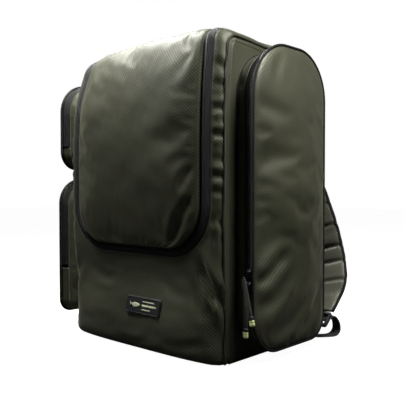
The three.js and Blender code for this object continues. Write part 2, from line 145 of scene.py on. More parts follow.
def add_stage():
    scene = bpy.context.scene
    scene.view_settings.view_transform = "Standard"
    world = bpy.data.worlds.new("studio")
    world.use_nodes = True
    tree = world.node_tree
    ambient = tree.nodes["Background"]
    ambient.inputs["Color"].default_value = (0.96, 0.98, 1, 1)
    ambient.inputs["Strength"].default_value = AMBIENT
    bright = tree.nodes.new("ShaderNodeBackground")
    bright.inputs["Color"].default_value = (1, 1, 1, 1)
    seen_white(tree, ambient, bright, tree.nodes["World Output"], "Surface")
    scene.world = world
    for name, place, target, area, power in LIGHTS:
        add_area_light(name, place, target, area, power)
    mesh = bpy.data.meshes.new("floor")
    corners = [(x * FLOOR_REACH, y * FLOOR_REACH, 0) for x, y in ((-1, -1), (1, -1), (1, 1), (-1, 1))]
    mesh.from_pydata(corners, [], [(0, 1, 2, 3)])
    floor = bpy.data.objects.new("floor", mesh)
    floor.location.z = -FLOOR_DROP
    scene.collection.objects.link(floor)
    material = bpy.data.materials.new("floor")
    material.use_nodes = True
    tree = material.node_tree
    shader = tree.nodes["Principled BSDF"]
    pale = tree.nodes.new("ShaderNodeBsdfPrincipled")
    for made, shade in ((shader, FLOOR_SHADE), (pale, FLOOR_SEEN)):
        made.inputs["Base Color"].default_value = shade
        made.inputs["Roughness"].default_value = FLOOR_ROUGHNESS
        made.inputs["Specular IOR Level"].default_value = 0.0
    pale.inputs["Emission Color"].default_value = (1, 1, 1, 1)
    pale.inputs["Emission Strength"].default_value = FLOOR_GLOW
    seen_white(tree, shader, pale, tree.nodes["Material Output"], "Surface")
    mesh.materials.append(material)


# ------------------------------------------------------------------ materials


class Graph:
    """A short way to write a material's node tree."""

    def __init__(self, name):
        self.material = bpy.data.materials.new(name)
        self.material.use_nodes = True
        self.tree = self.material.node_tree
        self.shader = self.tree.nodes["Principled BSDF"]

    def node(self, kind, inputs=(), **settings):
        made = self.tree.nodes.new(kind)
        for key, value in settings.items():
            setattr(made, key, value)
        for key, value in dict(inputs).items():
            self.put(made.inputs[key], value)
        return made

    def put(self, socket, value):
        if isinstance(value, bpy.types.NodeSocket):
            self.tree.links.new(value, socket)
        else:
            socket.default_value = value

    def math(self, operation, a, b=0.0):
        made = self.node("ShaderNodeMath", operation=operation)
        for socket, value in zip(made.inputs, (a, b)):
            self.put(socket, value)
        return made.outputs[0]

    def plus(self, a, b):
        return self.math("ADD", a, b)

    def times(self, a, b):
        return self.math("MULTIPLY", a, b)

    def wave(self, value, rate):
        return self.math("SINE", self.times(value, rate))

    def cloth_uv(self):
        """U and V of the cloth, in metres along its surface."""
        uv = self.node("ShaderNodeUVMap", uv_map="cloth").outputs[0]
        parts = self.node("ShaderNodeSeparateXYZ", {0: uv})
        return uv, parts.outputs[0], parts.outputs[1]

    def noise(self, vector, scale, detail=2.0, roughness=0.5):
        made = self.node(
            "ShaderNodeTexNoise",
            {"Vector": vector, "Scale": scale, "Detail": detail, "Roughness": roughness},
        )
        return made.outputs[0]

    def object_place(self):
        return self.node("ShaderNodeTexCoord").outputs["Object"]

    def remap(self, value, low, high, new_low, new_high):
        made = self.node(
            "ShaderNodeMapRange",
            {0: value, 1: low, 2: high, 3: new_low, 4: new_high},
        )
        return made.outputs[0]

    def mix(self, factor, a, b):
        made = self.node("ShaderNodeMix", {0: factor, 6: a, 7: b}, data_type="RGBA")
        return made.outputs[2]

    def shaded(self, shade, tone):
        """A colour made brighter or darker by tone."""
        lit = self.node("ShaderNodeVectorMath", {0: shade}, operation="SCALE")
        self.put(lit.inputs["Scale"], tone)
        return lit.outputs[0]

    def bump(self, height, distance, strength=1.0, normal=None):
        made = self.node("ShaderNodeBump", {"Height": height, "Distance": distance, "Strength": strength})
        if normal is not None:
            self.put(made.inputs["Normal"], normal)
        return made.outputs[0]

    def finish(self, **inputs):
        for key, value in inputs.items():
            self.put(self.shader.inputs[key.replace("_", " ")], value)
        return self.material


YARN = 2.6 * MM  # width of the nylon's yarns
FIBRES = 5.0  # strands seen across one yarn


def colour(red, green, blue):
    return (red, green, blue, 1)


def weave(graph):
    """Height and tone of a plain weave."""
    uv, u, v = graph.cloth_uv()
    across = graph.math("DIVIDE", u, YARN)
    along = graph.math("DIVIDE", v, YARN)
    cell_u = graph.math("FLOOR", across)
    cell_v = graph.math("FLOOR", along)
    part_u = graph.math("FRACT", across)
    part_v = graph.math("FRACT", along)
    odd = graph.math("MODULO", graph.math("ABSOLUTE", graph.plus(cell_u, cell_v)), 2.0)
    arch_u = graph.wave(part_u, math.pi)
    arch_v = graph.wave(part_v, math.pi)
    pillow = graph.times(graph.math("POWER", arch_u, 0.55), graph.math("POWER", arch_v, 0.55))
    fibre_u = graph.wave(part_u, 2 * math.pi * FIBRES)
    fibre_v = graph.wave(part_v, 2 * math.pi * FIBRES)
    fibre = graph.plus(graph.times(fibre_u, odd), graph.times(fibre_v, graph.math("SUBTRACT", 1.0, odd)))
    wave_u = graph.wave(across, math.pi)
    wave_v = graph.wave(along, math.pi)
    check = graph.times(wave_u, wave_v)
    relief = graph.plus(graph.times(pillow, 0.35), graph.times(check, 0.5))
    height = graph.plus(relief, graph.times(fibre, 0.05))
    return uv, height, check, pillow


def nylon(name, dark, light, rough=(0.40, 0.56), gloss=0.5):
    """Coated ballistic nylon: coarse weave, a dull sheen, uneven shade, and painted sheen on alternate yarn
    crossings.
    """
    graph = Graph(name)
    uv, height, check, pillow = weave(graph)
    place = graph.object_place()
    patch = graph.noise(place, 9.0, 3.0)
    speck = graph.noise(uv, 900.0, 1.0)
    shade = graph.mix(graph.remap(patch, 0.35, 0.65, 0.0, 1.0), colour(*dark), colour(*light))
    # Painted sheen: check lightens and darkens alternate yarn crossings, standing for warp and weft catching
    # the light differently; pillow makes each yarn darker towards its edges.
    tone = graph.plus(graph.remap(pillow, 0.2, 1.0, 0.86, 1.04), graph.times(check, 0.55))
    tone = graph.times(tone, graph.remap(speck, 0.3, 0.7, 0.93, 1.07))
    scuffs = graph.noise(place, 35.0, 5.0, 0.65)
    roughness = graph.plus(graph.remap(scuffs, 0.3, 0.7, *rough), graph.times(check, 0.08))
    slack = graph.noise(place, 60.0, 2.0)
    normal = graph.bump(slack, 0.6 * MM, 0.35)
    normal = graph.bump(height, 0.34 * MM, 0.6, normal)
    return graph.finish(
        Base_Color=graph.shaded(shade, tone),
        Roughness=roughness,
        Sheen_Weight=0.12,
        Sheen_Roughness=0.35,
        Sheen_Tint=colour(0.8, 0.8, 0.6),
        Specular_IOR_Level=gloss,
        Specular_Tint=colour(0.98, 1.0, 0.8),
        Normal=normal,
    )


def twill(name, shade, period, lift, rough):
    """Black woven tape: fine diagonal ribs."""
    graph = Graph(name)
    uv, u, v = graph.cloth_uv()
    diagonal = graph.math("DIVIDE", graph.plus(u, v), period)
    rib = graph.wave(diagonal, 2 * math.pi)
    cross = graph.wave(graph.math("DIVIDE", v, period), 2 * math.pi)
    height = graph.plus(rib, graph.times(cross, 0.4))
    lint = graph.noise(uv, 420.0, 3.0)
    tone = graph.remap(graph.plus(graph.times(height, 0.12), lint), 0.2, 0.9, 0.7, 1.35)
    return graph.finish(
        Base_Color=graph.shaded(shade, tone),
        Roughness=graph.remap(lint, 0.3, 0.7, rough - 0.08, rough + 0.08),
        Specular_IOR_Level=0.28,
        Normal=graph.bump(height, lift, 0.8),
    )


def ribbed_webbing(name, shade):
    """Polypropylene webbing: rows of short slanted ribs with a plain edge."""
    graph = Graph(name)
    uv, u, v = graph.cloth_uv()
    column = graph.math("DIVIDE", u, 3.1 * MM)
    side = graph.math("PINGPONG", column, 1.0)
    slant = graph.plus(graph.math("DIVIDE", v, 1.9 * MM), graph.times(side, 0.8))
    rib = graph.wave(slant, 2 * math.pi)
    groove = graph.math("POWER", graph.math("ABSOLUTE", graph.math("SUBTRACT", side, 0.5)), 0.5)
    height = graph.plus(graph.times(rib, 0.6), groove)
    lint = graph.noise(uv, 600.0, 2.0)
    tone = graph.remap(graph.plus(graph.times(height, 0.2), lint), 0.2, 0.9, 0.6, 1.5)
    return graph.finish(
        Base_Color=graph.shaded(shade, tone),
        Roughness=graph.remap(lint, 0.3, 0.7, 0.45, 0.62),
        Sheen_Weight=0.2,
        Normal=graph.bump(height, 0.35 * MM, 0.9),
    )


def spacer_mesh(name, shade):
    """Breathable spacer mesh: a net of small round holes."""
    graph = Graph(name)
    uv, _, _ = graph.cloth_uv()
    cells = graph.node(
        "ShaderNodeTexVoronoi",
        {"Vector": uv, "Scale": 380.0, "Randomness": 0.12},
        feature="F1",
    )
    hole = graph.remap(cells.outputs["Distance"], 0.22, 0.42, 0.0, 1.0)
    place = graph.object_place()
    patch = graph.noise(place, 14.0, 2.0)
    net = graph.remap(hole, 0.0, 1.0, 0.3, 1.1)
    tone = graph.times(net, graph.remap(patch, 0.3, 0.7, 0.85, 1.2))
    return graph.finish(
        Base_Color=graph.shaded(shade, tone),
        Roughness=graph.remap(patch, 0.3, 0.7, 0.7, 0.85),
        Sheen_Weight=0.3,
        Normal=graph.bump(hole, 0.7 * MM, 0.9),
    )


def moulded(name, shade, rough, grain=2200.0, metallic=0.0, worn=None):
    """Moulded plastic, rubber or plated metal: fine grain, and edges rubbed where worn is given."""
    graph = Graph(name)
    place = graph.object_place()
    fine = graph.noise(place, grain, 2.0)
    broad = graph.noise(place, 120.0, 4.0, 0.6)
    tone = graph.remap(broad, 0.3, 0.7, 0.85, 1.15)
    base = graph.shaded(shade, tone)
    if worn is not None:
        sharp = graph.node("ShaderNodeNewGeometry").outputs["Pointiness"]
        edge = graph.remap(sharp, 0.53, 0.62, 0.0, 0.8)
        rub = graph.times(edge, graph.remap(broad, 0.4, 0.6, 0.2, 1))
        base = graph.mix(rub, base, colour(*worn))
    return graph.finish(
        Base_Color=base,
        Roughness=graph.remap(broad, 0.3, 0.7, rough - 0.07, rough + 0.07),
        Metallic=metallic,
        Normal=graph.bump(fine, 0.05 * MM, 0.5),
    )


OLIVE_DARK = (0.035, 0.036, 0.0212)
OLIVE_LIGHT = (0.0485, 0.0498, 0.0296)

# Strap nylon: its own black-olive, painted lighter to stand for the sheen its shiny folds catch.
STRAP_SHEEN_DARK = (0.085, 0.084, 0.064)
STRAP_SHEEN_LIGHT = (0.12, 0.119, 0.09)
SCUFFED_METAL = (0.32, 0.32, 0.31)
SCUFFED_PLASTIC = (0.06, 0.06, 0.06)

MATERIALS = {
    "body": nylon("olive_nylon", OLIVE_DARK, OLIVE_LIGHT),
    "flap": nylon("olive_flap_nylon", OLIVE_DARK, OLIVE_LIGHT, rough=(0.50, 0.64), gloss=0.3),
    "tape": twill("zip_tape", (0.0062, 0.0062, 0.006), 0.9 * MM, 0.12 * MM, 0.62),
    "piping": twill("piping_cloth", (0.006, 0.006, 0.0056), 1.3 * MM, 0.2 * MM, 0.6),
    "olive_piping": twill("olive_piping_cloth", (0.036, 0.0355, 0.024), 1.3 * MM, 0.2 * MM, 0.5),
    "pull": twill("pull_tape", (0.022, 0.023, 0.018), 1.1 * MM, 0.25 * MM, 0.55),
    "webbing": ribbed_webbing("black_webbing", (0.0105, 0.0105, 0.0115)),
    "mesh": spacer_mesh("spacer_mesh", (0.016, 0.016, 0.015)),
    # Strap nylon with painted sheen: its colours are lightened to stand for the light its folds catch.
    "pad_nylon": nylon("strap_nylon_painted_sheen", STRAP_SHEEN_DARK, STRAP_SHEEN_LIGHT, rough=(0.30, 0.46)),
    "rubber": moulded("badge_rubber", (0.012, 0.013, 0.0135), 0.5),
    "print": moulded("badge_print", (0.52, 0.55, 0.36), 0.5),
    "tip": moulded("pull_tip", (0.56, 0.60, 0.27), 0.42),
    "metal": moulded("plated_metal", (0.035, 0.035, 0.038), 0.3, 900.0, 0.9, SCUFFED_METAL),
    "plastic": moulded("black_acetal", (0.013, 0.013, 0.014), 0.36, 1500.0, 0.0, SCUFFED_PLASTIC),
    "board": moulded("stiff_sheet", (0.03, 0.03, 0.031), 0.5),
    "thread": moulded("thread", (0.05, 0.051, 0.037), 0.5),
}


# ------------------------------------------------------------------ mesh building


def unit(vectors):
    length = np.linalg.norm(vectors, axis=-1, keepdims=True)
    return vectors / np.maximum(length, 1e-12)


def smoothstep(low, high, value):
    t = np.clip((value - low) / (high - low), 0, 1)
    return t * t * (3 - 2 * t)


class Surface:
    """Points, faces and cloth coordinates of one piece, before it becomes an object."""

    def __init__(self, points, faces, uv):
        self.points = np.asarray(points, float).reshape(-1, 3)
        self.faces = [tuple(int(i) for i in face) for face in faces]
        self.uv = np.asarray(uv, float).reshape(-1, 2)

    def normals(self):
        total = np.zeros_like(self.points)
        for size in (3, 4):
            index = np.array([f for f in self.faces if len(f) == size])
            if len(index) == 0:
                continue
            corner = self.points[index]
            if size == 4:
                normal = np.cross(corner[:, 2] - corner[:, 0], corner[:, 3] - corner[:, 1])
            else:
                normal = np.cross(corner[:, 1] - corner[:, 0], corner[:, 2] - corner[:, 0])
            for k in range(size):
                np.add.at(total, index[:, k], normal)
        return unit(total)

    def boundary(self):
        """Directed edges that only one face uses."""
        seen = {}
        for face in self.faces:
            for a, b in zip(face, face[1:] + face[:1]):
                seen[(a, b)] = True
        return [(a, b) for a, b in seen if (b, a) not in seen]

    def thickened(self, thickness):
        """A closed sheet: this surface outside, and a copy of it a thickness inside."""
        count = len(self.points)
        inner = self.points - self.normals() * thickness
        faces = list(self.faces)
        faces += [tuple(i + count for i in reversed(face)) for face in self.faces]
        faces += [(b, a, a + count, b + count) for a, b in self.boundary()]
        return Surface(np.vstack([self.points, inner]), faces, np.vstack([self.uv, self.uv]))


def grid_faces(rows, columns, loop=False, flip=False):
    faces = []
    last = columns if loop else columns - 1
    for r in range(rows - 1):
        for c in range(last):
            d = (c + 1) % columns
            face = (r * columns + c, r * columns + d, (r + 1) * columns + d, (r + 1) * columns + c)
            faces.append(tuple(reversed(face)) if flip else face)
    return faces


def make(name, surface, material, body=None, replaces=()):
    """Turns a surface into an object that rides on a body and stands for CAD nodes."""
    mesh = bpy.data.meshes.new(name)
    mesh.from_pydata(surface.points.tolist(), [], surface.faces)
    layer = mesh.uv_layers.new(name="cloth")
    corner = np.zeros(len(mesh.loops), np.int32)
    mesh.loops.foreach_get("vertex_index", corner)
    layer.data.foreach_set("uv", surface.uv[corner].astype(np.float32).ravel())
    mesh.shade_smooth()
    mesh.materials.append(MATERIALS[material])
    obj = bpy.data.objects.new(name, mesh)
    bpy.context.scene.collection.objects.link(obj)
    if body is not None:
        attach(obj, body)
    if replaces:
        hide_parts(*replaces)
    return obj


def ring_faces(rows, sides, closed=False):
    """Faces of a form made of rings of points, with its ends joined or capped."""
    faces = grid_faces(rows, sides, loop=True, flip=True)
    end = (rows - 1) * sides
    if closed:
        return faces + [(end + c, c, (c + 1) % sides, end + (c + 1) % sides) for c in range(sides)]
    return faces + [tuple(range(sides)), tuple(reversed(range(end, end + sides)))]


def ringed(cloud, around, walked, closed=False):
    """A surface from rings of points; around and walked are their cloth places."""
    uv = np.stack(np.meshgrid(around, walked), axis=-1)
    return Surface(cloud, ring_faces(len(walked), len(around), closed), uv)


def facing_out(surface):
    """The surface, with its faces turned over where they enclose a negative volume."""
    volume = 0.0
    for face in surface.faces:
        a = surface.points[face[0]]
        for b, c in zip(face[1:-1], face[2:]):
            volume += np.dot(a, np.cross(surface.points[b], surface.points[c]))
    if volume < 0:
        surface.faces = [tuple(reversed(face)) for face in surface.faces]
    return surface


def blunted(wave, power):
    """A sine or cosine drawn towards a square wave."""
    return np.sign(wave) * np.abs(wave) ** power


def joined(surfaces):
    """Several surfaces as one."""
    points, faces, uv, start = [], [], [], 0
    for surface in surfaces:
        points.append(surface.points)
        uv.append(surface.uv)
        faces += [tuple(i + start for i in face) for face in surface.faces]
        start += len(surface.points)
    return Surface(np.vstack(points), faces, np.vstack(uv))


# ------------------------------------------------------------------ paths


def catmull(points, count):
    """Evenly spaced points on a centripetal curve through given points."""
    knots = np.array(points, float)
    padded = np.vstack([2 * knots[0] - knots[1], knots, 2 * knots[-1] - knots[-2]])
    fine = []
    for i in range(len(knots) - 1):
        p0, p1, p2, p3 = padded[i:i + 4]
        t1 = np.linalg.norm(p1 - p0) ** 0.5
        t2 = t1 + np.linalg.norm(p2 - p1) ** 0.5
        t3 = t2 + np.linalg.norm(p3 - p2) ** 0.5
        t = np.linspace(t1, t2, 24, endpoint=False)[:, None]
        a1 = p0 * (t1 - t) / t1 + p1 * t / t1
        a2 = p1 * (t2 - t) / (t2 - t1) + p2 * (t - t1) / (t2 - t1)
        a3 = p2 * (t3 - t) / (t3 - t2) + p3 * (t - t2) / (t3 - t2)
        b1 = a1 * (t2 - t) / t2 + a2 * t / t2
        b2 = a2 * (t3 - t) / (t3 - t1) + a3 * (t - t1) / (t3 - t1)
        fine.append(b1 * (t2 - t) / (t2 - t1) + b2 * (t - t1) / (t2 - t1))
    fine.append(knots[-1:])
    return resample(np.vstack(fine), count)


def lengths(points):
    return np.concatenate([[0], np.cumsum(np.linalg.norm(np.diff(points, axis=0), axis=1))])


def resample(points, count):
    walked = lengths(points)
    wanted = np.linspace(0, walked[-1], count)
    return np.stack([np.interp(wanted, walked, points[:, k]) for k in range(3)], axis=1)


def outward_of(loop):
    """The outward direction at each point of a counter-clockwise flat loop."""
    along = np.roll(loop, -1, axis=0) - np.roll(loop, 1, axis=0)
    return unit(np.stack([along[:, 1], -along[:, 0]], axis=1))


def tangents(points, closed=False):
    if closed:
        return unit(np.roll(points, -1, axis=0) - np.roll(points, 1, axis=0))
    return unit(np.gradient(points, axis=0))


def tube(points, radius, sides, closed=False, flat=1.0, outward=(0, 0, 1)):
    """A round bead along points. flat squeezes it across outward."""
    points = np.asarray(points, float)
    along = tangents(points, closed)
    outward = np.broadcast_to(np.asarray(outward, float), points.shape)
    outward = unit(outward - (outward * along).sum(1, keepdims=True) * along)
    across = np.cross(along, outward)
    angle = np.linspace(0, 2 * math.pi, sides, endpoint=False)
    ring = (
        across[:, None] * np.cos(angle)[None, :, None]
        + outward[:, None] * np.sin(angle)[None, :, None] * flat
    )
    radius = np.broadcast_to(np.asarray(radius, float), (len(points),))
    cloud = points[:, None] + ring * radius[:, None, None]
    return ringed(cloud, angle * radius.mean(), lengths(points), closed)


def strip_frames(points, hint=(1, 0, 0)):
    """Across and normal of a flat strip whose width follows hint."""
    along = tangents(points)
    hint = np.broadcast_to(np.array(hint, float), along.shape)
    across = unit(hint - (along * hint).sum(1)[:, None] * along)
    return across, np.cross(along, across)


def swept(path, across, normal, wide, tall):
    """Rings of points round a path, wide and tall saying where each lies from it."""
    return path[:, None] + across[:, None] * wide[..., None] + normal[:, None] * tall[..., None]


def flat_strip(points, width, thickness, hint=(1, 0, 0)):
    """Webbing: a flat strip with soft edges."""
    across, normal = strip_frames(points, hint)
    place = np.linspace(-1, 1, 9)
    swell = np.sqrt(np.clip(1 - np.abs(place) ** 9, 0, 1)) * thickness / 2
    loop_u = np.concatenate([place, place[::-1][1:-1]]) * width / 2
    loop_h = np.concatenate([swell, -swell[::-1][1:-1]])
    cloud = swept(points, across, normal, loop_u[None], loop_h[None])
    return ringed(cloud, loop_u, lengths(points))


# ------------------------------------------------------------------ cloth


CLOTH_FRAMES = 20
CLOTH_SETTINGS = dict(
    quality=6, mass=0.3, tension_stiffness=40, compression_stiffness=40, shear_stiffness=12, air_damping=2,
)


class Tailor:
    """Collects cloth sheets, lets Blender's cloth settle them together, and hands them back."""

    def __init__(self):
        self.jobs = []

    def add(self, surface, pinned, pressure, swell, cap, bending):
        self.jobs.append((surface, pinned, pressure, swell, cap, bending))

    def settle(self):
        if not self.jobs:
            return
        scene = bpy.context.scene
        made = [self.cloth(number, *job) for number, job in enumerate(self.jobs)]
        for step in range(1, CLOTH_FRAMES + 1):
            scene.frame_set(step)
        graph = bpy.context.evaluated_depsgraph_get()
        for (surface, _, _, _, cap, _), obj in zip(self.jobs, made):
            mesh = obj.evaluated_get(graph).data
            moved = np.zeros(len(mesh.vertices) * 3)
            mesh.vertices.foreach_get("co", moved)
            shift = moved.reshape(-1, 3) - surface.points
            far = np.linalg.norm(shift, axis=1, keepdims=True)
            limit = cap * np.tanh(far / cap)
            surface.points = surface.points + shift * limit / np.maximum(far, 1e-9)
        for obj in made:
            mesh = obj.data
            bpy.data.objects.remove(obj)
            bpy.data.meshes.remove(mesh)
        scene.frame_set(1)

    def cloth(self, number, surface, pinned, pressure, swell, _, bending):
        mesh = bpy.data.meshes.new(f"cloth_{number}")
        mesh.from_pydata(surface.points.tolist(), [], surface.faces)
        obj = bpy.data.objects.new(f"cloth_{number}", mesh)
        bpy.context.scene.collection.objects.link(obj)
        group = obj.vertex_groups.new(name="pin")
        group.add([int(i) for i in pinned], 1.0, "REPLACE")
        modifier = obj.modifiers.new("cloth", "CLOTH")
        cloth = modifier.settings
        for name, value in CLOTH_SETTINGS.items():
            setattr(cloth, name, value)
        cloth.bending_stiffness = bending
        cloth.vertex_group_mass = "pin"
        cloth.shrink_min = -swell
        cloth.effector_weights.gravity = 0
        cloth.use_pressure = True
        cloth.uniform_pressure_force = pressure
        modifier.collision_settings.use_collision = False
        modifier.point_cache.frame_start = 1
        modifier.point_cache.frame_end = CLOTH_FRAMES
        return obj


# ------------------------------------------------------------------ the body's form


def slump(points):
    """Moves points of the plain form to where the loaded, worn bag holds them."""
    x, y, z = points[..., 0], points[..., 1], points[..., 2]
    front = smoothstep(0.01, -0.105, y)
    ahead = smoothstep(-0.055, -0.105, y)
    left = smoothstep(0.12, -0.17, x)
    top = np.clip((z - 0.395) / 0.105, 0, 1.2)
    lean = (9 + 14 * left) * MM * top ** 1.6
    swell = (2.5 + 3.8 * left) * MM * smoothstep(0.06, 0.20, z) * smoothstep(0.47, 0.33, z)
    right = smoothstep(0.02, 0.17, x)
    beside_sliders = smoothstep(-0.150, -0.118, x)  # the main zip stays level where its sliders run
    rise = (4.0 + 2.5 * right) * MM * smoothstep(0.40, 0.50, z) * beside_sliders
    aside = 6 * MM * left * ahead * smoothstep(0.08, 0.2, z) * smoothstep(0.50, 0.40, z)
    moved = np.array(points, float)
    moved[..., 0] = x - aside
    moved[..., 1] = y + lean * front - swell * ahead
    moved[..., 2] = z + rise * front
    return moved


def rounding(share):
    """How far a quarter circle has fallen away, 0 to 1, at a share of its width."""
    return 1 - np.sqrt(np.clip(1 - share ** 2, 0, 1))


def wrap(u, v, lift=0.0):
    """Point and outward direction on the wrap of front, top and back.

    u runs round the bag from its middle line, v up the front, over the top and down the back.
    """
    u, v = np.broadcast_arrays(np.asarray(u, float), np.asarray(v, float))
    core_x = HALF_WIDTH - EDGE
    a = np.sign(u) * np.clip((np.abs(u) - core_x) / EDGE, 0, math.pi / 2)
    b = np.clip((v - SEAM_HEIGHT) / EDGE, 0, math.pi / 2)
    b = b + np.clip((v - V_BACK) / EDGE, 0, math.pi / 2)
    y = FRONT + EDGE + np.clip(v - V_TOP, 0, BACK - FRONT - 2 * EDGE)
    z = np.minimum(v, SEAM_HEIGHT) - np.maximum(v - V_BACK - ARC, 0)
    normal = np.stack([np.sin(a), -np.cos(b) * np.cos(a), np.sin(b) * np.cos(a)], axis=-1)
    core = np.stack([np.clip(u, -core_x, core_x), y, z], axis=-1)
    hem = 9 * MM  # the wrap turns under at the base
    low = np.clip(1 - z / hem, 0, 1)
    tuck = hem * rounding(low) * ((v < SEAM_HEIGHT) | (v > V_BACK + ARC))
    corner = np.sin(a) ** 2 * np.sin(2 * b) ** 2  # the seam rounds its corner
    reach = EDGE + np.asarray(lift) - tuck * 0.8 - corner * 1.5 * MM
    seam = np.sin(a) ** 2
    core = core + (rounded_corner(v) - core) * seam[..., None] * [0, 1, 1]
    return slump(core + normal * reach[..., None]), normal


def rounded_corner(v):
    """The wrap's middle line with its two upper corners rounded, as the side seams follow it."""
    r = CORNER_ROUND
    out = np.zeros(v.shape + (3,))
    up = np.clip((v - SEAM_HEIGHT + r) / (ARC + 2 * r), 0, 1) * math.pi / 2
    down = np.clip((v - V_BACK + r) / (ARC + 2 * r), 0, 1) * math.pi / 2
    level = np.clip(v - V_TOP - r, 0, V_BACK - V_TOP - 2 * r)
    out[..., 1] = FRONT + EDGE + r * (1 - np.cos(up)) + level + r * np.sin(down)
    rise = np.minimum(v, SEAM_HEIGHT - r) + r * np.sin(up)
    out[..., 2] = rise - r * (1 - np.cos(down)) - np.maximum(v - V_BACK - ARC - r, 0)
    return out


def door_outline(offset):
    """(u, v) along the flap's edge, offset outward: left side down, round the bottom, right side up."""
    half = FLAP_HALF + offset
    bottom = FLAP_BOTTOM - offset
    radius = FLAP_CORNER + offset
    side_count, arc_count, bottom_count = 112, 22, 34
    sides = np.linspace(V_HINGE, bottom + radius, side_count, endpoint=False)
    turn = np.linspace(0, math.pi / 2, arc_count, endpoint=False)
    left = np.stack([np.full(side_count, -half), sides], axis=1)
    left_arc = np.stack(
        [-half + radius - radius * np.cos(turn), bottom + radius - radius * np.sin(turn)], axis=1
    )
    across = np.linspace(-half + radius, 0, bottom_count // 2, endpoint=False)
    base = np.stack([across, np.full(len(across), bottom)], axis=1)
    half_line = np.vstack([left, left_arc, base])
    mirrored = half_line[::-1] * [-1, 1]
    middle = np.array([[0.0, bottom]])
    return np.vstack([half_line, middle, mirrored])


def door_depth(u, v):
    """How far a point lies inside the flap's edge."""
    side = FLAP_HALF - np.abs(u)
    low = v - FLAP_BOTTOM
    reach_u = FLAP_CORNER - side
    reach_v = FLAP_CORNER - low
    corner = FLAP_CORNER - np.hypot(np.maximum(reach_u, 0), np.maximum(reach_v, 0))
    return np.where((reach_u > 0) & (reach_v > 0), corner, np.minimum(side, low))


def waves(points, size, seed):
    """Smooth repeatable unevenness, about -1 to 1."""
    random = np.random.default_rng(seed)
    total = np.zeros(len(points))
    for octave in range(2):
        scale = size / (1.9 ** octave)
        for _ in range(7):
            direction = unit(random.normal(size=3))
            phase = random.uniform(0, 2 * math.pi)
            stretch = random.uniform(0.6, 1.4)
            turns = points @ direction * 2 * math.pi / (scale * stretch)
            total += np.sin(turns + phase) / (2.6 * 1.6 ** octave)
    return total / 1.6


def creases(plane, folds):
    """Height of pressed-in folds. Each is (start, end, depth, width) in the cloth's own plane."""
    total = np.zeros(len(plane))
    for start, end, depth, width in folds:
        start = np.array(start) * MM
        end = np.array(end) * MM
        line = end - start
        length = np.linalg.norm(line)
        line = line / length
        rel = plane - start
        t = rel @ line
        off = rel @ np.array([-line[1], line[0]])
        bow = off + np.sin(np.clip(t / length, 0, 1) * math.pi) * 0.08 * length
        fade = smoothstep(-0.15, 0.3, t / length) * smoothstep(1.15, 0.7, t / length)
        w = width * MM
        groove = -np.exp(-(bow / w) ** 2) + 0.55 * np.exp(-((bow - 1.7 * w) / w) ** 2)
        groove += 0.4 * np.exp(-((bow + 1.7 * w) / w) ** 2)
        total += depth * MM * fade * groove
    return total


# ------------------------------------------------------------------ body shell

SKIN = 2.2 * MM
SURROUND_OFFSET = 2 * ZIP_HALF
# Puckers pressed into the strip beside the zip: height and depth of each, in millimetres.
STRIP_PUCKERS = (
    (388, 3.4), (349, 3.8), (312, 1.6), (288, 4.0), (264, 2.6), (223, 4.4), (196, 2.0),
)


def front_lift(u, v):
    """How the body's skin swells away from its plain form, before cloth and creases."""
    low_bulge = 16 * MM * smoothstep(0.132, 0.042, v) * (1 - 0.35 * smoothstep(0.02, -0.006, v))
    width = np.clip(1 - (np.abs(u) / (HALF_WIDTH - 4 * MM)) ** 4, 0, 1)
    lift = np.where(v < 0.2, low_bulge * width, 0.0)
    top = smoothstep(V_TOP, V_TOP + 0.05, v) * smoothstep(V_BACK, V_BACK - 0.05, v)
    lift = lift + top * 3 * MM * width
    back = smoothstep(V_BACK + ARC, V_BACK + ARC + 0.08, v) * smoothstep(V_END, V_END - 0.06, v)
    return lift + back * 1.2 * MM * width


def wrap_surface(rows_uv, folds, seed, flip=False):
    """Cloth of the wrap from rows of (u, v), with unevenness that fades at the side seams."""
    uv = np.stack(rows_uv)
    rows, columns = uv.shape[:2]
    flat = uv.reshape(-1, 2)
    u, v = flat[:, 0], flat[:, 1]
    edge = 10 * MM
    rough = 0.9 * MM
    fade = smoothstep(0, edge, GIRTH - np.abs(u)) * smoothstep(0, edge, v) * smoothstep(0, edge, V_END - v)
    opening = smoothstep(0, 12 * MM, -door_depth(u, v) - SURROUND_OFFSET)
    fade = fade * np.where(v < V_HINGE, opening, 1.0)
    place, _ = wrap(u, v)
    uneven = waves(place, 0.11, seed) * rough + waves(place, 0.035, seed + 5) * rough * 0.35
    clear = np.where(v < 0.2, -door_depth(u, v) - SURROUND_OFFSET, 1)  # how far below the flap's zip
    lift = front_lift(u, v) * smoothstep(0, 26 * MM, clear)
    lift = lift + (uneven + creases(flat, folds)) * fade
    points, _ = wrap(u, v, lift)
    return Surface(points, grid_faces(rows, columns, flip=flip), flat)


def surround_rows():
    """Rows of (u, v) between the zip band and the body's side and bottom edges."""
    inner = door_outline(SURROUND_OFFSET)
    half = len(inner) // 2
    left = inner[:half + 1]
    side_end = FLAP_BOTTOM + FLAP_CORNER
    turn_start = int(np.argmax(left[:, 1] <= side_end))
    turn_end = int(np.argmax(left[:, 0] > -FLAP_HALF + FLAP_CORNER - 1e-6))
    outer = np.zeros_like(left)
    outer[:turn_start] = np.stack([np.full(turn_start, -GIRTH), left[:turn_start, 1]], axis=1)
    turn = np.linspace(0, 1, turn_end - turn_start + 1)
    walked = turn * (side_end + GIRTH + left[turn_end, 0])
    fall = np.minimum(walked, side_end)
    across = np.maximum(walked - side_end, 0)
    outer[turn_start:turn_end + 1] = np.stack([-GIRTH + across, side_end - fall], axis=1)
    outer[turn_end:] = np.stack([left[turn_end:, 0], np.zeros(len(left) - turn_end)], axis=1)
    full = np.vstack([outer[:-1], outer[::-1] * [-1, 1]])
    steps = np.linspace(0, 1, 34)
    return [inner * (1 - t) + full * t for t in steps]


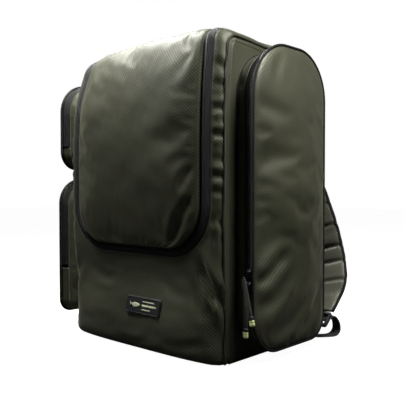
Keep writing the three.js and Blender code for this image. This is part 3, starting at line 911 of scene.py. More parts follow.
def body_folds():
    folds = []
    for height, depth in STRIP_PUCKERS:
        for sign, shift, share in ((1, 0, 1), (-1, 13, 0.7)):
            start = (sign * 151, height + shift + 2)
            end = (sign * 184, height + shift - 3)
            folds.append((start, end, depth * share, 5.5))
    folds += [
        ((138, 156), (187, 92), 10, 9), ((124, 132), (168, 66), 4.5, 9), ((160, 104), (184, 22), 3.4, 7),
        ((-150, 132), (-176, 84), 2.6, 8), ((-120, 126), (-60, 108), 2.0, 9), ((60, 118), (120, 96), 1.6, 9),
        ((-176, 60), (-120, 30), 1.8, 8), ((70, 22), (150, 34), 1.6, 7), ((-40, 16), (40, 20), 1.2, 6),
        ((-150, 470), (-184, 452), 2.2, 6), ((150, 462), (186, 440), 2.2, 6),
        ((152, 424), (184, 420), 1.8, 5),
    ]
    return folds


def add_body():
    folds = body_folds()
    surround = wrap_surface(surround_rows(), folds, seed=3, flip=True)
    columns = np.linspace(-GIRTH, GIRTH, 96)
    heights = np.linspace(V_HINGE + 0.2 * MM, V_END, 176)
    rows = [np.stack([columns, np.full(96, v)], axis=1) for v in heights]
    back = wrap_surface(rows, (), seed=9)
    make("body_surround", surround.thickened(SKIN), "body", "root", ("front_panel",))
    make("body_back", back.thickened(SKIN), "body", "root", ("top_panel", "back_panel"))


def add_side_panels():
    """Flat side walls between the two side seams."""
    below_top = (SEAM_HEIGHT - 0.4445) * np.linspace(1, 0, 20) ** 2
    heights = np.concatenate([np.linspace(1.5 * MM, 0.44, 84), SEAM_HEIGHT - 1e-6 - below_top])
    track = np.linspace(0, V_END, 1200)
    half = V_TOP + (V_BACK - V_TOP) / 2
    ahead = track <= half
    seam = rounded_corner(track)
    front_y = np.interp(heights, seam[ahead, 2], seam[ahead, 1])
    back_y = np.interp(heights, seam[~ahead, 2][::-1], seam[~ahead, 1][::-1])
    share = np.linspace(0, 1, 52)
    for label, sign in (("right", 1), ("left", -1)):
        y = front_y[:, None] + (back_y - front_y)[:, None] * share
        z = np.repeat(heights[:, None], len(share), axis=1)
        plane = np.stack([sign * y, z], axis=-1).reshape(-1, 2)
        edge = np.minimum(share * (1 - share) * 4, 1)[None, :] * np.ones_like(z)
        ends = smoothstep(0, 0.02, z) * smoothstep(SEAM_HEIGHT, SEAM_HEIGHT - 0.02, z)
        flat = np.stack([np.zeros_like(z), y, z], axis=-1).reshape(-1, 3)
        uneven = waves(flat, 0.07, 21 + sign) * 1.1 * MM
        folds = [
            ((sign * -94, 210), (sign * -60, 180), 2.0, 6), ((sign * -94, 120), (sign * -70, 80), 2.0, 6),
            ((sign * -92, 40), (sign * -50, 22), 2.0, 6),
        ]
        lift = (uneven + creases(plane, folds)) * np.sqrt(edge * ends).ravel()
        x = sign * (HALF_WIDTH - 0.3 * MM + np.minimum(lift, 0.8 * MM))
        points = slump(np.stack([x, y.ravel(), z.ravel()], axis=-1))
        surface = Surface(points, grid_faces(len(heights), len(share), flip=sign < 0), plane)
        make(f"side_{label}", surface.thickened(SKIN), "body", "root", (f"{label}_side_panel",))


def rounded_loop(half_x, half_y, radius):
    """A rounded rectangle, counter-clockwise from above."""
    loop = []
    corners = ((1, -1, -90), (1, 1, 0), (-1, 1, 90), (-1, -1, 180))
    for number, (sx, sy, start) in enumerate(corners):
        centre = np.array([sx * (half_x - radius), sy * (half_y - radius)])
        angle = np.radians(start + np.linspace(0, 90, 9))
        arc = centre + radius * np.stack([np.cos(angle), np.sin(angle)], axis=1)
        nx, ny, nstart = corners[(number + 1) % 4]
        following = np.array([nx * (half_x - radius), ny * (half_y - radius)])
        a = math.radians(nstart)
        first = following + radius * np.array([math.cos(a), math.sin(a)])
        share = np.linspace(0, 1, 16)[1:-1, None]
        loop += [arc, arc[-1] * (1 - share) + first * share]
    return np.vstack(loop)


def stacked(loops):
    """Closed form from equal closed loops, the first and last capped with a fan."""
    count = len(loops[0])
    points = np.vstack(loops)
    faces = grid_faces(len(loops), count, loop=True)
    first, last = len(points), len(points) + 1
    points = np.vstack([points, loops[0].mean(axis=0), loops[-1].mean(axis=0)])
    end = (len(loops) - 1) * count
    for c in range(count):
        d = (c + 1) % count
        faces.append((first, d, c))
        faces.append((last, end + c, end + d))
    return points, faces


def add_base():
    sections = ((-7, 0.0), (-3.2, 0.35), (-1.4, 1.6), (-1.0, 3.4), (-1.6, 5.4), (-6, 6.0))
    loops = []
    for grow, z in sections:
        radius = EDGE + grow * MM
        loop = rounded_loop(HALF_WIDTH + (grow - 3) * MM, BACK + (grow - 3) * MM, radius)
        loops.append(np.column_stack([loop, np.full(len(loop), z * MM)]))
    loops.insert(0, loops[0] * [0.5, 0.5, 1])
    points, faces = stacked(loops)
    make("base_shell", Surface(points, faces, points[:, :2]), "body", "root", ("base_panel",))


PIPING_GIRTH = HALF_WIDTH - EDGE + EDGE * math.radians(66)


def add_corner_piping():
    track = np.linspace(3 * MM, V_END - 3 * MM, 420)
    random = np.random.default_rng(4)
    for label, sign in (("right", 1), ("left", -1)):
        path, _ = wrap(np.full(len(track), sign * PIPING_GIRTH), track, 1.2 * MM)
        sway = np.interp(track, np.linspace(0, V_END, 46), random.normal(0, 0.5, 46)) * MM
        path[:, 1] += sway * (track < SEAM_HEIGHT)
        thick = 2.3 * MM * (1 + 0.05 * np.sin(track * 900))
        bead = tube(path, thick, 10, outward=(sign, 0, 0))
        make(f"seam_piping_{label}", bead, "olive_piping", "root", (f"corner_piping_{label}",))


# ------------------------------------------------------------------ padded panels


def panel_grid(heights, low, high, columns):
    share = np.linspace(0, 1, columns)
    u = low[:, None] * (1 - share) + high[:, None] * share
    v = np.repeat(heights[:, None], columns, axis=1)
    return np.stack([u, v], axis=-1)


def border_of(rows, columns):
    """Grid indices round the edge, counter-clockwise."""
    bottom = list(range(columns))
    right = [r * columns + columns - 1 for r in range(1, rows)]
    top = [(rows - 1) * columns + c for c in range(columns - 2, -1, -1)]
    left = [r * columns for r in range(rows - 2, 0, -1)]
    return np.array(bottom + right + top + left)


def panel_skin(grid, place, height):
    """The outer skin of a padded panel, as an open surface."""
    rows, columns = grid.shape[:2]
    flat = grid.reshape(-1, 2)
    return Surface(place(flat[:, 0], flat[:, 1], height(flat)), grid_faces(rows, columns), flat)


def bridged(last, here):
    """Faces between two closed loops of point numbers."""
    count = len(last)
    pairs = [(c, (c + 1) % count) for c in range(count)]
    return [(last[d], last[c], here[c], here[d]) for c, d in pairs]


def panel_closed(skin, grid, place, rings, under):
    """Closes a panel: rolled edges given as (distance outward, height), then a lining."""
    rows, columns = grid.shape[:2]
    border = border_of(rows, columns)
    flat = grid.reshape(-1, 2)
    edge = flat[border]
    outward = outward_of(edge)
    points, uv, faces = [skin.points], [skin.uv], list(skin.faces)
    count = len(border)
    last = border
    start = len(skin.points)
    for distance, height in rings:
        ring_uv = edge + outward * distance
        points.append(place(ring_uv[:, 0], ring_uv[:, 1], np.full(count, height)))
        uv.append(ring_uv)
        here = np.arange(start, start + count)
        faces += bridged(last, here)
        last = here
        start += count
    points.append(place(flat[:, 0], flat[:, 1], np.full(len(flat), under)))
    uv.append(flat)
    faces += bridged(last, border + start)
    faces += [tuple(reversed([i + start for i in face])) for face in grid_faces(rows, columns)]
    return Surface(np.vstack(points), faces, np.vstack(uv))


def arch_ends(v, bottom, top, low_radius, high_radius, edge):
    """Where an arched outline's side is at height v."""
    rise = np.clip((bottom + low_radius - v) / low_radius, 0, 1)
    fall = np.clip((v - top + high_radius) / max(high_radius, 1e-9), 0, 1)
    return edge - (low_radius * rounding(rise) + high_radius * rounding(fall))


# ------------------------------------------------------------------ wrap-over flap

FLAP_STAND = 8 * MM
FLAP_ROLL = 6 * MM
FLAP_HANG = 9 * MM


def flap_place(u, v, lift):
    """A point on the flap, which hangs over its own zip along the bottom."""
    points = wrap(u, v, lift)[0]
    low = smoothstep(FLAP_BOTTOM + 80 * MM, FLAP_BOTTOM + 8 * MM, v)
    points[..., 2] -= FLAP_HANG * low * smoothstep(2 * MM, FLAP_STAND, lift)
    return points


def flap_height(flat):
    u, v = flat[:, 0], flat[:, 1]
    inside = np.maximum(door_depth(u, v) - FLAP_ROLL, 0)
    puff = 1 - (1 - np.clip(inside / 75e-3, 0, 1)) ** 2.4
    belly = smoothstep(0.150, 0.290, v) * (1 - 0.72 * smoothstep(0.33, 0.50, v))
    belly = belly * (1 - 0.5 * smoothstep(V_TOP, V_TOP + 0.1, v))
    stand = FLAP_STAND - 4 * MM * smoothstep(0.44, 0.50, v)
    lift = stand + puff * belly * 10.5 * MM
    place, _ = wrap(u, v)
    soft = smoothstep(0, 30e-3, inside)
    lift = lift + waves(place, 0.16, 31) * 1.5 * MM * soft + waves(place, 0.06, 37) * 0.5 * MM * soft
    folds = (
        ((138, 250), (96, 205), 3.0, 8), ((136, 300), (112, 262), 2.6, 8), ((128, 226), (84, 178), 3.0, 9),
        ((60, 330), (130, 372), 1.8, 18), ((-20, 300), (60, 238), 1.6, 20),
        ((-138, 372), (-112, 330), 2.0, 9),
        ((-132, 222), (-92, 178), 2.0, 9), ((-60, 200), (30, 178), 1.6, 12), ((40, 232), (90, 186), 1.4, 10),
        ((-138, 470), (-118, 438), 1.6, 8), ((128, 470), (104, 430), 1.4, 10),
    )
    lift = lift + creases(flat, folds) * smoothstep(0, 12e-3, inside)
    rear = smoothstep(V_HINGE - 30 * MM, V_HINGE - 2 * MM, v)
    return lift * (1 - rear) + rear * 2.2 * MM


def flap_grid():
    bottom = FLAP_BOTTOM + FLAP_ROLL
    half = FLAP_HALF - FLAP_ROLL
    radius = FLAP_CORNER - FLAP_ROLL
    turn = np.linspace(0, math.pi / 2, 15)
    corner = bottom + radius - radius * np.cos(turn)
    straight = np.linspace(corner[-1], V_HINGE - 2 * MM, 108)[1:]
    heights = np.concatenate([corner, straight])
    edge = arch_ends(heights, bottom, 9.0, radius, 1e-9, half)
    return panel_grid(heights, -edge, edge, 76)


FLAP_RINGS = ((1.6, 7.6), (3.2, 6.6), (4.6, 5.0), (5.6, 2.6), (5.8, 0.0), (5.6, -1.8))


def add_flap(tailor):
    grid = flap_grid()
    skin = panel_skin(grid, flap_place, flap_height)
    rows, columns = grid.shape[:2]
    pinned = set(border_of(rows, columns).tolist())
    tailor.add(skin, sorted(pinned), pressure=0.6, swell=0.006, cap=5 * MM, bending=2.0)

    def finish():
        rings = [(d * MM, h * MM) for d, h in FLAP_RINGS]
        border = border_of(rows, columns)
        closed = panel_closed(skin, grid, flap_place, rings, -2.6 * MM)
        start = len(skin.points)
        for number, (_, h) in enumerate(rings):
            index = start + number * len(border)
            uv = closed.uv[index:index + len(border)].copy()
            uv[:, 1] = np.minimum(uv[:, 1], V_HINGE)
            drop = smoothstep(V_HINGE - 30 * MM, V_HINGE - 2 * MM, uv[:, 1])
            near_top = 1 - 0.5 * smoothstep(0.44, 0.50, uv[:, 1]) * (h > 0)
            lift = h * near_top * (1 - drop) + drop * min(h, 2.2 * MM)
            closed.points[index:index + len(border)] = flap_place(uv[:, 0], uv[:, 1], lift)
        flap = make("flap", closed, "flap", None, ("front_flap",))
        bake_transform(flap)
    return finish


def contour_strip(offsets, lifts, thickness, name, material, body, replaced):
    """A band that follows the flap's edge. Offsets and lifts are in millimetres."""
    rows = [door_outline(offset * MM) for offset in offsets]
    uv = np.stack(rows)
    flat = uv.reshape(-1, 2)
    lift = np.repeat(np.array(lifts) * MM, uv.shape[1])
    points, _ = wrap(flat[:, 0], flat[:, 1], lift)
    walked = lengths(np.column_stack([rows[0], np.zeros(len(rows[0]))]))
    cloth = np.stack([np.repeat(np.array(offsets) * MM, uv.shape[1]), np.tile(walked, len(rows))], axis=1)
    surface = Surface(points, grid_faces(len(rows), uv.shape[1], flip=True), cloth)
    return make(name, surface.thickened(thickness), material, body, replaced)


def add_main_zip():
    flap_tape = contour_strip(
        (-0.6, 1.5, 3.4, 5.4, 7.2, 8.2, 8.7, 8.85), (0.4, 1.1, 1.5, 2.1, 2.9, 3.0, 2.3, 1.2), 1.5 * MM,
        "main_tape_flap", "tape", None, ("main_zip_flap_tape",),
    )
    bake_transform(flap_tape)
    contour_strip(
        (9.15, 9.3, 9.8, 10.8, 12.8, 14.6, 16.6, 18.4), (1.2, 2.3, 3.0, 2.9, 2.1, 1.5, 1.2, 0.6), 1.5 * MM,
        "main_tape_body", "tape", "root", ("main_zip_body_tape",),
    )
    for label, offset, body in (("flap", 8.5, None), ("body", 9.5, "root")):
        edge = door_outline(offset * MM)
        path, _ = wrap(edge[:, 0], edge[:, 1], np.full(len(edge), -0.6 * MM))
        fine = resample(np.asarray(path), 700)
        coil = tube(fine, 1.15 * MM, 7)
        piece = make(f"main_coil_{label}", coil, "tape", body)
        if body is None:
            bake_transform(piece)


# ------------------------------------------------------------------ side pockets

POCKETS = {
    "right": dict(
        side=1, depth=46, front=-91, back=104, bottom=16, top=486, top_front=82, top_back=78,
        low_front=62, low_back=40, flare=11, zip_end=98, body="right_door", crown=18.0, slider_shift=3.5,
    ),
    "left_lower": dict(
        side=-1, depth=72, front=-104, back=104, bottom=24, top=281, top_front=46, top_back=46,
        low_front=24, low_back=24, flare=12, zip_end=112, body="left_lower_door", crown=5.0, slider_shift=0,
    ),
    "left_upper": dict(
        side=-1, depth=72, front=-100, back=100, bottom=302, top=468, top_front=56, top_back=56,
        low_front=34, low_back=34, flare=14, zip_end=345, body="left_upper_door", crown=5.0, slider_shift=0,
    ),
}
FACE_FOLDS = {
    "right": (
        ((-90, 122), (-30, 172), 5.6, 10), ((-78, 62), (-8, 128), -4.6, 12), ((-60, 40), (34, 96), 3.6, 11),
        ((20, 42), (78, 92), 2.6, 10), ((-88, 150), (-60, 236), 1.6, 10), ((-30, 250), (44, 226), 1.8, 16),
        ((-84, 300), (-40, 330), 1.4, 14), ((30, 180), (92, 150), 1.8, 12), ((-80, 400), (-30, 372), 1.5, 14),
        ((-20, 470), (-52, 430), 1.4, 9), ((30, 474), (52, 430), 1.2, 9), ((50, 300), (92, 260), 1.5, 12),
    ),
    "left_lower": (
        ((-92, 60), (-30, 96), 2.4, 9), ((30, 40), (88, 84), 2.4, 9), ((-92, 200), (-50, 236), 1.8, 10),
        ((20, 160), (92, 190), 1.8, 14), ((-60, 120), (30, 140), 1.4, 14),
    ),
    "left_upper": (
        ((-86, 330), (-30, 356), 2.2, 9), ((20, 328), (84, 366), 2.2, 9), ((-60, 420), (10, 436), 1.6, 12),
        ((30, 400), (88, 420), 1.6, 10),
    ),
}
# Where a pocket's zip band begins, has its middle, and ends, measured inward from the pocket's face.
ZIP_START = 28
ZIP_MIDDLE = 18
ZIP_END = 8
# Heights of the plain seams across a gusset, in millimetres.
GUSSET_SEAMS = {"right": (), "left_lower": (112,), "left_upper": (397,)}


def pocket_loop(pocket, inset, spacing=4.2):
    """(y, z) round a pocket's outline in millimetres, with the same count at every inset."""
    front, back = pocket["front"], pocket["back"]
    bottom, top = pocket["bottom"], pocket["top"]
    corners = (
        (back, bottom, -1, 1, pocket["low_back"], -90), (back, top, -1, -1, pocket["top_back"], 0),
        (front, top, 1, -1, pocket["top_front"], 90), (front, bottom, 1, 1, pocket["low_front"], 180),
    )

    def arc(corner, shift, count):
        y, z, inward_y, inward_z, radius, start = corner
        bend = max(radius - shift, 1)
        centre = np.array([y + inward_y * (shift + bend), z + inward_z * (shift + bend)])
        angle = np.radians(start + np.linspace(0, 90, count))
        return centre + bend * np.stack([np.cos(angle), np.sin(angle)], axis=1)

    loop = []
    for number, corner in enumerate(corners):
        following = corners[(number + 1) % 4]
        count = max(7, int(corner[4] * math.pi / 2 / spacing))
        straight = np.linalg.norm(arc(corner, 0, 2)[-1] - arc(following, 0, 2)[0])
        inner = max(2, int(straight / spacing))
        here = arc(corner, inset, count)
        there = arc(following, inset, 2)[0]
        share = np.linspace(0, 1, inner + 2)[1:-1, None]
        loop += [here, here[-1] * (1 - share) + there * share]
    return np.vstack(loop)


def pocket_ring(pocket, outs, swell=None, shift=0.0):
    """Rows of points round the pocket at distances out from the body, with their cloth places."""
    rows, cloth = [], []
    for out in outs:
        inset = pocket["flare"] * (1 - out / pocket["depth"]) + shift
        loop = pocket_loop(pocket, inset)
        if swell is not None:
            loop = loop + outward_of(loop) * swell(out, loop)[:, None]
        x = pocket["side"] * (HALF_WIDTH / MM + out)
        rows.append(np.column_stack([np.full(len(loop), x), loop]) * MM)
        walked = lengths(np.vstack([loop, loop[:1]]))[:-1]
        cloth.append(np.column_stack([np.full(len(loop), out), walked]) * MM)
    return np.stack(rows), np.stack(cloth)


def band(pocket, outs, swell, keep_height, thickness, shift=0.0):
    """A band of the gusset. keep_height is (low, high) in millimetres, or None for all round."""
    rows, cloth = pocket_ring(pocket, outs, swell, shift)
    flat = rows.reshape(-1, 3)
    keep = None
    if keep_height is not None:
        low, high = keep_height
        keep = (flat[:, 2] >= low * MM) & (flat[:, 2] <= high * MM)
    faces = grid_faces(*rows.shape[:2], loop=True, flip=pocket["side"] < 0)
    if keep is not None:
        faces = [face for face in faces if all(keep[i] for i in face)]
    used = sorted({i for face in faces for i in face})
    index = {old: new for new, old in enumerate(used)}
    faces = [tuple(index[i] for i in face) for face in faces]
    surface = Surface(flat[used], faces, cloth.reshape(-1, 2)[used])
    return surface.thickened(thickness * MM)


def gusset_swell(label, pocket):
    zip_start = pocket["depth"] - ZIP_START
    seams = GUSSET_SEAMS[label]

    def swell(out, loop):
        reach = math.sin(math.pi * min(out / zip_start, 1.0))
        place = np.column_stack([np.full(len(loop), out), loop]) * MM
        total = waves(place, 0.055, 41 + len(label)) * 1.3 * reach
        total = total + reach * 1.2
        for height in seams:
            total = total - 1.8 * np.exp(-((loop[:, 1] - height) / 1.6) ** 2) * min(1.0, reach * 3)
            total = total + 0.9 * np.exp(-((loop[:, 1] - height - 4) / 3.0) ** 2) * min(1.0, reach * 3)
        for height in (60, 150, 238, 330, 418):
            sway = np.exp(-((loop[:, 1] - height - out * 0.4) / 5.0) ** 2)
            total = total - 1.5 * sway * reach
        return total
    return swell


def face_place(pocket):
    side = pocket["side"]

    def place(u, v, lift):
        x = side * (HALF_WIDTH + lift)
        return np.stack([x, side * u, v], axis=-1)
    return place


def face_depth(pocket, y, z):
    """Distance inside a pocket's outline, in millimetres."""
    from_front = y - pocket["front"]
    from_back = pocket["back"] - y
    from_low = z - pocket["bottom"]
    from_top = pocket["top"] - z
    depth = np.minimum(np.minimum(from_front, from_back), np.minimum(from_low, from_top))
    for a, b, radius in (
        (from_front, from_top, pocket["top_front"]), (from_back, from_top, pocket["top_back"]),
        (from_front, from_low, pocket["low_front"]), (from_back, from_low, pocket["low_back"]),
    ):
        corner = (a < radius) & (b < radius)
        reach = np.hypot(np.maximum(radius - a, 0), np.maximum(radius - b, 0))
        depth = np.where(corner, radius - reach, depth)
    return depth


FACE_ROLL = 3.0
FACE_RINGS = ((0.9, -0.7), (1.8, -1.7), (2.5, -3.2), (2.8, -4.8))


def add_face(label, pocket, tailor):
    side = pocket["side"]
    low, high = pocket["bottom"] + FACE_ROLL, pocket["top"] - FACE_ROLL
    turn = np.linspace(0, math.pi / 2, 12)
    low_radius = max(pocket["low_front"], pocket["low_back"]) - FACE_ROLL
    high_radius = max(pocket["top_front"], pocket["top_back"]) - FACE_ROLL
    lower = low + low_radius * (1 - np.cos(turn))
    upper = high - high_radius * (1 - np.cos(turn[::-1]))
    inner_count = max(6, int((upper[0] - lower[-1]) / 4.2))
    middle = np.linspace(lower[-1], upper[0], inner_count + 2)[1:-1]
    heights = np.concatenate([lower, middle, upper])
    front = -arch_ends(
        heights, low, high, pocket["low_front"] - FACE_ROLL, pocket["top_front"] - FACE_ROLL,
        -pocket["front"] - FACE_ROLL,
    )
    back = arch_ends(
        heights, low, high, pocket["low_back"] - FACE_ROLL, pocket["top_back"] - FACE_ROLL,
        pocket["back"] - FACE_ROLL,
    )
    start, end = (front, back) if side > 0 else (-back, -front)
    grid = panel_grid(heights * MM, start * MM, end * MM, 50)
    place = face_place(pocket)
    depth = pocket["depth"]

    def height(flat):
        y, z = side * flat[:, 0] / MM, flat[:, 1] / MM
        inside = np.maximum(face_depth(pocket, y, z), 0)
        round_off = 1 - np.clip((inside - FACE_ROLL) / 26, 0, 1)
        lift = depth - 1.5 - 5.0 * round_off ** 2.4
        length = (z - pocket["bottom"]) / (pocket["top"] - pocket["bottom"])
        belly = np.clip(1 - (2 * length - 1) ** 2, 0, 1) ** 0.7
        tent = np.clip(1 - np.abs(length - 0.55) / 0.5, 0, 1)
        belly = 0.55 * belly + 0.55 * tent
        lift = lift + pocket["crown"] * belly * smoothstep(0, 85, inside)
        points = np.column_stack([np.full(len(y), side * depth), y, z]) * MM
        soft = smoothstep(FACE_ROLL, 20, inside)
        lift = lift + waves(points, 0.14, 51 + len(label)) * 1.4 * soft
        lift = lift + waves(points, 0.05, 57 + len(label)) * 0.45 * soft
        plane = np.column_stack([y, z]) * MM
        lift = lift + creases(plane, FACE_FOLDS[label]) / MM * smoothstep(FACE_ROLL, 12, inside)
        return lift * MM

    skin = panel_skin(grid, place, height)
    rows, columns = grid.shape[:2]
    pinned = border_of(rows, columns).tolist()
    tailor.add(skin, pinned, pressure=0.5, swell=0.007, cap=4 * MM, bending=1.5)

    def finish():
        flat = grid.reshape(-1, 2)
        edge_lift = height(flat[border_of(rows, columns)]).mean()
        rings = [(d * MM, edge_lift + h * MM) for d, h in FACE_RINGS]
        closed = panel_closed(skin, grid, place, rings, (depth - 7.6) * MM)
        piece = make(
            f"{label}_face", closed, "body", None,
            (f"{label}_pocket_door", f"{label}_pocket_lower_face"),
        )
        bend_at_hinge(piece, pocket)
    return finish


def bend_at_hinge(piece, pocket):
    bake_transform(piece)


def add_pocket(label, pocket, tailor):
    depth = pocket["depth"]
    start, face = depth - ZIP_START, depth - ZIP_END
    end = pocket["zip_end"]
    swell = gusset_swell(label, pocket)
    outs = np.concatenate([[0.2], np.linspace(1.5, start, max(8, start // 2))])
    gusset = band(pocket, outs, swell, None, 2.0)
    lower = band(pocket, np.linspace(start, face - 0.3, 9), None, (-1e3, end + 2.0), 2.0)
    make(f"{label}_gusset", joined([gusset, lower]), "body", "root", (f"{label}_pocket_gusset",))

    ridge = {
        "body": ((0.2, 2.0, 4.4, 6.6, 8.2, 9.2, 9.55, 9.7), (-0.5, 0.3, 0.8, 1.5, 2.2, 2.3, 1.7, 0.6)),
        "door": (
            (10.3, 10.45, 10.8, 11.8, 13.4, 15.6, 18.0, 19.7), (0.6, 1.7, 2.3, 2.2, 1.5, 0.8, 0.3, -0.5),
        ),
    }
    for half, (steps, lifts) in ridge.items():
        table = dict(zip([start + s for s in steps], lifts))
        tape = band(
            pocket, [start + s for s in steps], lambda out, loop: np.full(len(loop), table[out]),
            (end - 1.0, 1e3), 1.5,
        )
        body = "root" if half == "body" else None
        piece = make(f"{label}_tape_{half}", tape, "tape", body, (f"{label}_pocket_{half}_tape",))
        if body is None:
            bend_at_hinge(piece, pocket)
    add_face_finish = add_face(label, pocket, tailor)

    def finish():
        add_face_finish()
        rows, _ = pocket_ring(pocket, (face + 1.2,), None, -1.0)
        path = rows[0]
        outward = (pocket["side"], 0, 0)
        bead = tube(path, 2.15 * MM, 9, closed=True, outward=outward)
        hidden = [f"{label}_pocket_door_piping"]
        if label == "right":
            hidden.append("right_pocket_lower_piping")
        piece = make(f"{label}_piping", bead, "piping", None, tuple(hidden))
        bend_at_hinge(piece, pocket)
        rows, _ = pocket_ring(pocket, (0.8,), None, -0.9)
        foot = tube(rows[0], 1.3 * MM, 7, closed=True, outward=outward)
        make(f"{label}_foot_binding", foot, "piping", "root")
    return finish


# ------------------------------------------------------------------ sliders and pulls

SLIDER_LENGTH = 16
PULL_WIDTH = 8
PULL_THICKNESS = 3
PULL_OFFSET = 4
LONG_PULL = 56
SHORT_PULL = 45
TIP_LENGTH = 15
COLLAR_SHARE = 0.38  # how much of a grip is its dark collar
TIP_WIDTH = 10
TIP_THICKNESS = 5
GAP = 0.3


def turned(angle_z, angle_x=0.0):
    cz, sz = math.cos(angle_z), math.sin(angle_z)
    cx, sx = math.cos(angle_x), math.sin(angle_x)
    about_z = np.array([[cz, -sz, 0], [sz, cz, 0], [0, 0, 1]])
    about_x = np.array([[1, 0, 0], [0, cx, -sx], [0, sx, cx]])
    return about_z @ about_x


def about_y(angle):
    c, s = math.cos(angle), math.sin(angle)
    return np.array([[c, 0, s], [0, 1, 0], [-s, 0, c]])


def placed(surface, rotation, origin):
    """Moves a surface drawn in millimetres to its place, in metres."""
    points = (surface.points @ rotation.T + np.array(origin)) * MM
    return Surface(points, surface.faces, surface.uv * MM)


def set_at(outline, y):
    """An outline in X and Z, set at a depth in Y."""
    return np.column_stack([outline[:, 0], np.full(len(outline), y), outline[:, 1]])


def slab(outline, y0, y1, bevel, steps=3):
    """A plate with rounded edges, from an outline in X and Z, between two depths in Y."""
    outline = np.array(outline, float)
    outward = outward_of(outline)
    loops = []
    turns = [math.pi / 2 * step / steps for step in range(steps + 1)]
    for order, depth, sign in ((turns, y1, -1), (turns[::-1], y0, 1)):
        for a in order:
            loop = outline - outward * bevel * (1 - math.sin(a))
            loops.append(set_at(loop, depth + sign * bevel * (1 - math.cos(a))))
    points, faces = stacked(loops)
    return Surface(points, faces, points[:, [0, 2]])


def rounded_outline(x0, x1, z0, z1, radius, steps=5):
    loop = []
    for x, z, start in (
        (x1 - radius, z0 + radius, -90), (x1 - radius, z1 - radius, 0),
        (x0 + radius, z1 - radius, 90), (x0 + radius, z0 + radius, 180),
    ):
        angle = np.radians(start + np.linspace(0, 90, steps))
        loop.append(np.stack([x + radius * np.cos(angle), z + radius * np.sin(angle)], axis=1))
    return np.vstack(loop)


def slider_body():
    """A zip slider: shield-shaped top plate, side flanges, and an arched bridge."""
    half = SLIDER_LENGTH / 2
    left = [(-2.6, -half), (-3.9, -half + 1.2), (-4.2, -2), (-5.3, 3.2), (-5.5, half - 3), (-4.2, half - 0.8)]
    left.append((-1.6, half))
    right = [(-x, z) for x, z in reversed(left)]
    plan = np.array(left[::-1] + right[::-1])[::-1]
    plate = slab(plan, -4.1, -2.6, 0.6)
    lower = slab(plan * [0.92, 0.96], -1.4, -0.1, 0.5)
    neck = slab(rounded_outline(-1.6, 1.6, 1.0, 7.0, 1.2), -3.0, -0.8, 0.3)
    rails = []
    for sign in (1, -1):
        rail = rounded_outline(min(sign * 5.2, sign * 3.9), max(sign * 5.2, sign * 3.9), -5.6, 4.4, 0.6)
        rails.append(slab(rail, -3.4, -1.9, 0.3))
    bow = np.array([
        (0, -3.6, -5.6), (0, -4.8, -5.2), (0, -5.5, -3.6), (0, -5.7, 0), (0, -5.5, 3.6), (0, -4.8, 5.4),
        (0, -3.6, 5.9),
    ])
    bridge = tube(catmull(bow, 22), 1.0, 9, flat=0.8, outward=(1, 0, 0))
    return joined([plate, lower, neck, bridge] + rails)


def pull_tape(length):
    """Folded webbing pull, as a plate with rounded edges; its box of stitches and its wire eye are separate
    pieces.
    """
    width = PULL_WIDTH
    outline = rounded_outline(-width / 2, width / 2, -length, -2.2, 1.4)
    return slab(outline, -PULL_THICKNESS / 2 + 0.1, PULL_THICKNESS / 2 - 0.1, 0.7)


def pull_eye():
    side = ((2.4, 0, -3.4), (2.7, 0, -1.4), (1.8, 0, 0.1))
    ring = np.array([(-x, y, z) for x, y, z in side] + [(0, 0, 0.5)] + list(side[::-1]))
    return tube(catmull(ring, 26), 0.75, 8, outward=(0, 1, 0))


def pull_tip(length, start, end):
    """The part of a pull's moulded, grooved grip between two shares of its length."""
    top = -length - GAP
    loops = []
    for t in np.linspace(start, end, 17):
        z = top - t * TIP_LENGTH
        groove = 0.35 * (math.sin(t * math.pi * 9) < -0.2) * (0.25 < t < 0.8)
        round_end = 1 - 0.42 * max(0, (t - 0.84) / 0.16) ** 2 - 0.25 * max(0, (0.1 - t) / 0.1) ** 2
        half_x = (TIP_WIDTH / 2 - 0.2 - groove) * round_end
        half_y = (TIP_THICKNESS / 2 - 0.1 - groove) * round_end
        loop = rounded_outline(-half_x, half_x, -half_y, half_y, min(half_y * 0.8, 1.8), 4)
        loops.append(np.column_stack([loop, np.full(len(loop), z)]))
    points, faces = stacked(loops[::-1])
    return Surface(points, faces, points[:, [0, 2]])


def pull_stitches():
    """Raised stitches in a box near the top of a pull, on both faces."""
    marks = []
    for face in (1, -1):
        y = face * (PULL_THICKNESS / 2 - 0.05)
        for z in np.arange(-5.0, -13.0, -2.0):
            for x in (-2.7, 2.7):
                marks.append(((x, y, z), (x, y, z - 1.3)))
        for x in np.arange(-2.4, 1.8, 1.7):
            marks.append(((x, y, -4.6), (x + 1.1, y, -4.6)))
            marks.append(((x, y, -12.6), (x + 1.1, y, -12.6)))
    return [capsule(np.array(a), np.array(b), 0.28) for a, b in marks]


def capsule(a, b, radius):
    """A small six-sided grain from a to b."""
    along = unit(b - a)
    side = unit(np.cross(along, [0.31, 0.57, 0.76]))
    other = np.cross(along, side)
    angle = np.linspace(0, 2 * math.pi, 6, endpoint=False)
    ring = side * np.cos(angle)[:, None] + other * np.sin(angle)[:, None]
    middle = (a + b) / 2
    loops = [a + ring * radius * 0.55, middle + ring * radius, b + ring * radius * 0.55]
    points, faces = stacked(loops)
    return Surface(points, faces, np.zeros((len(points), 2)))


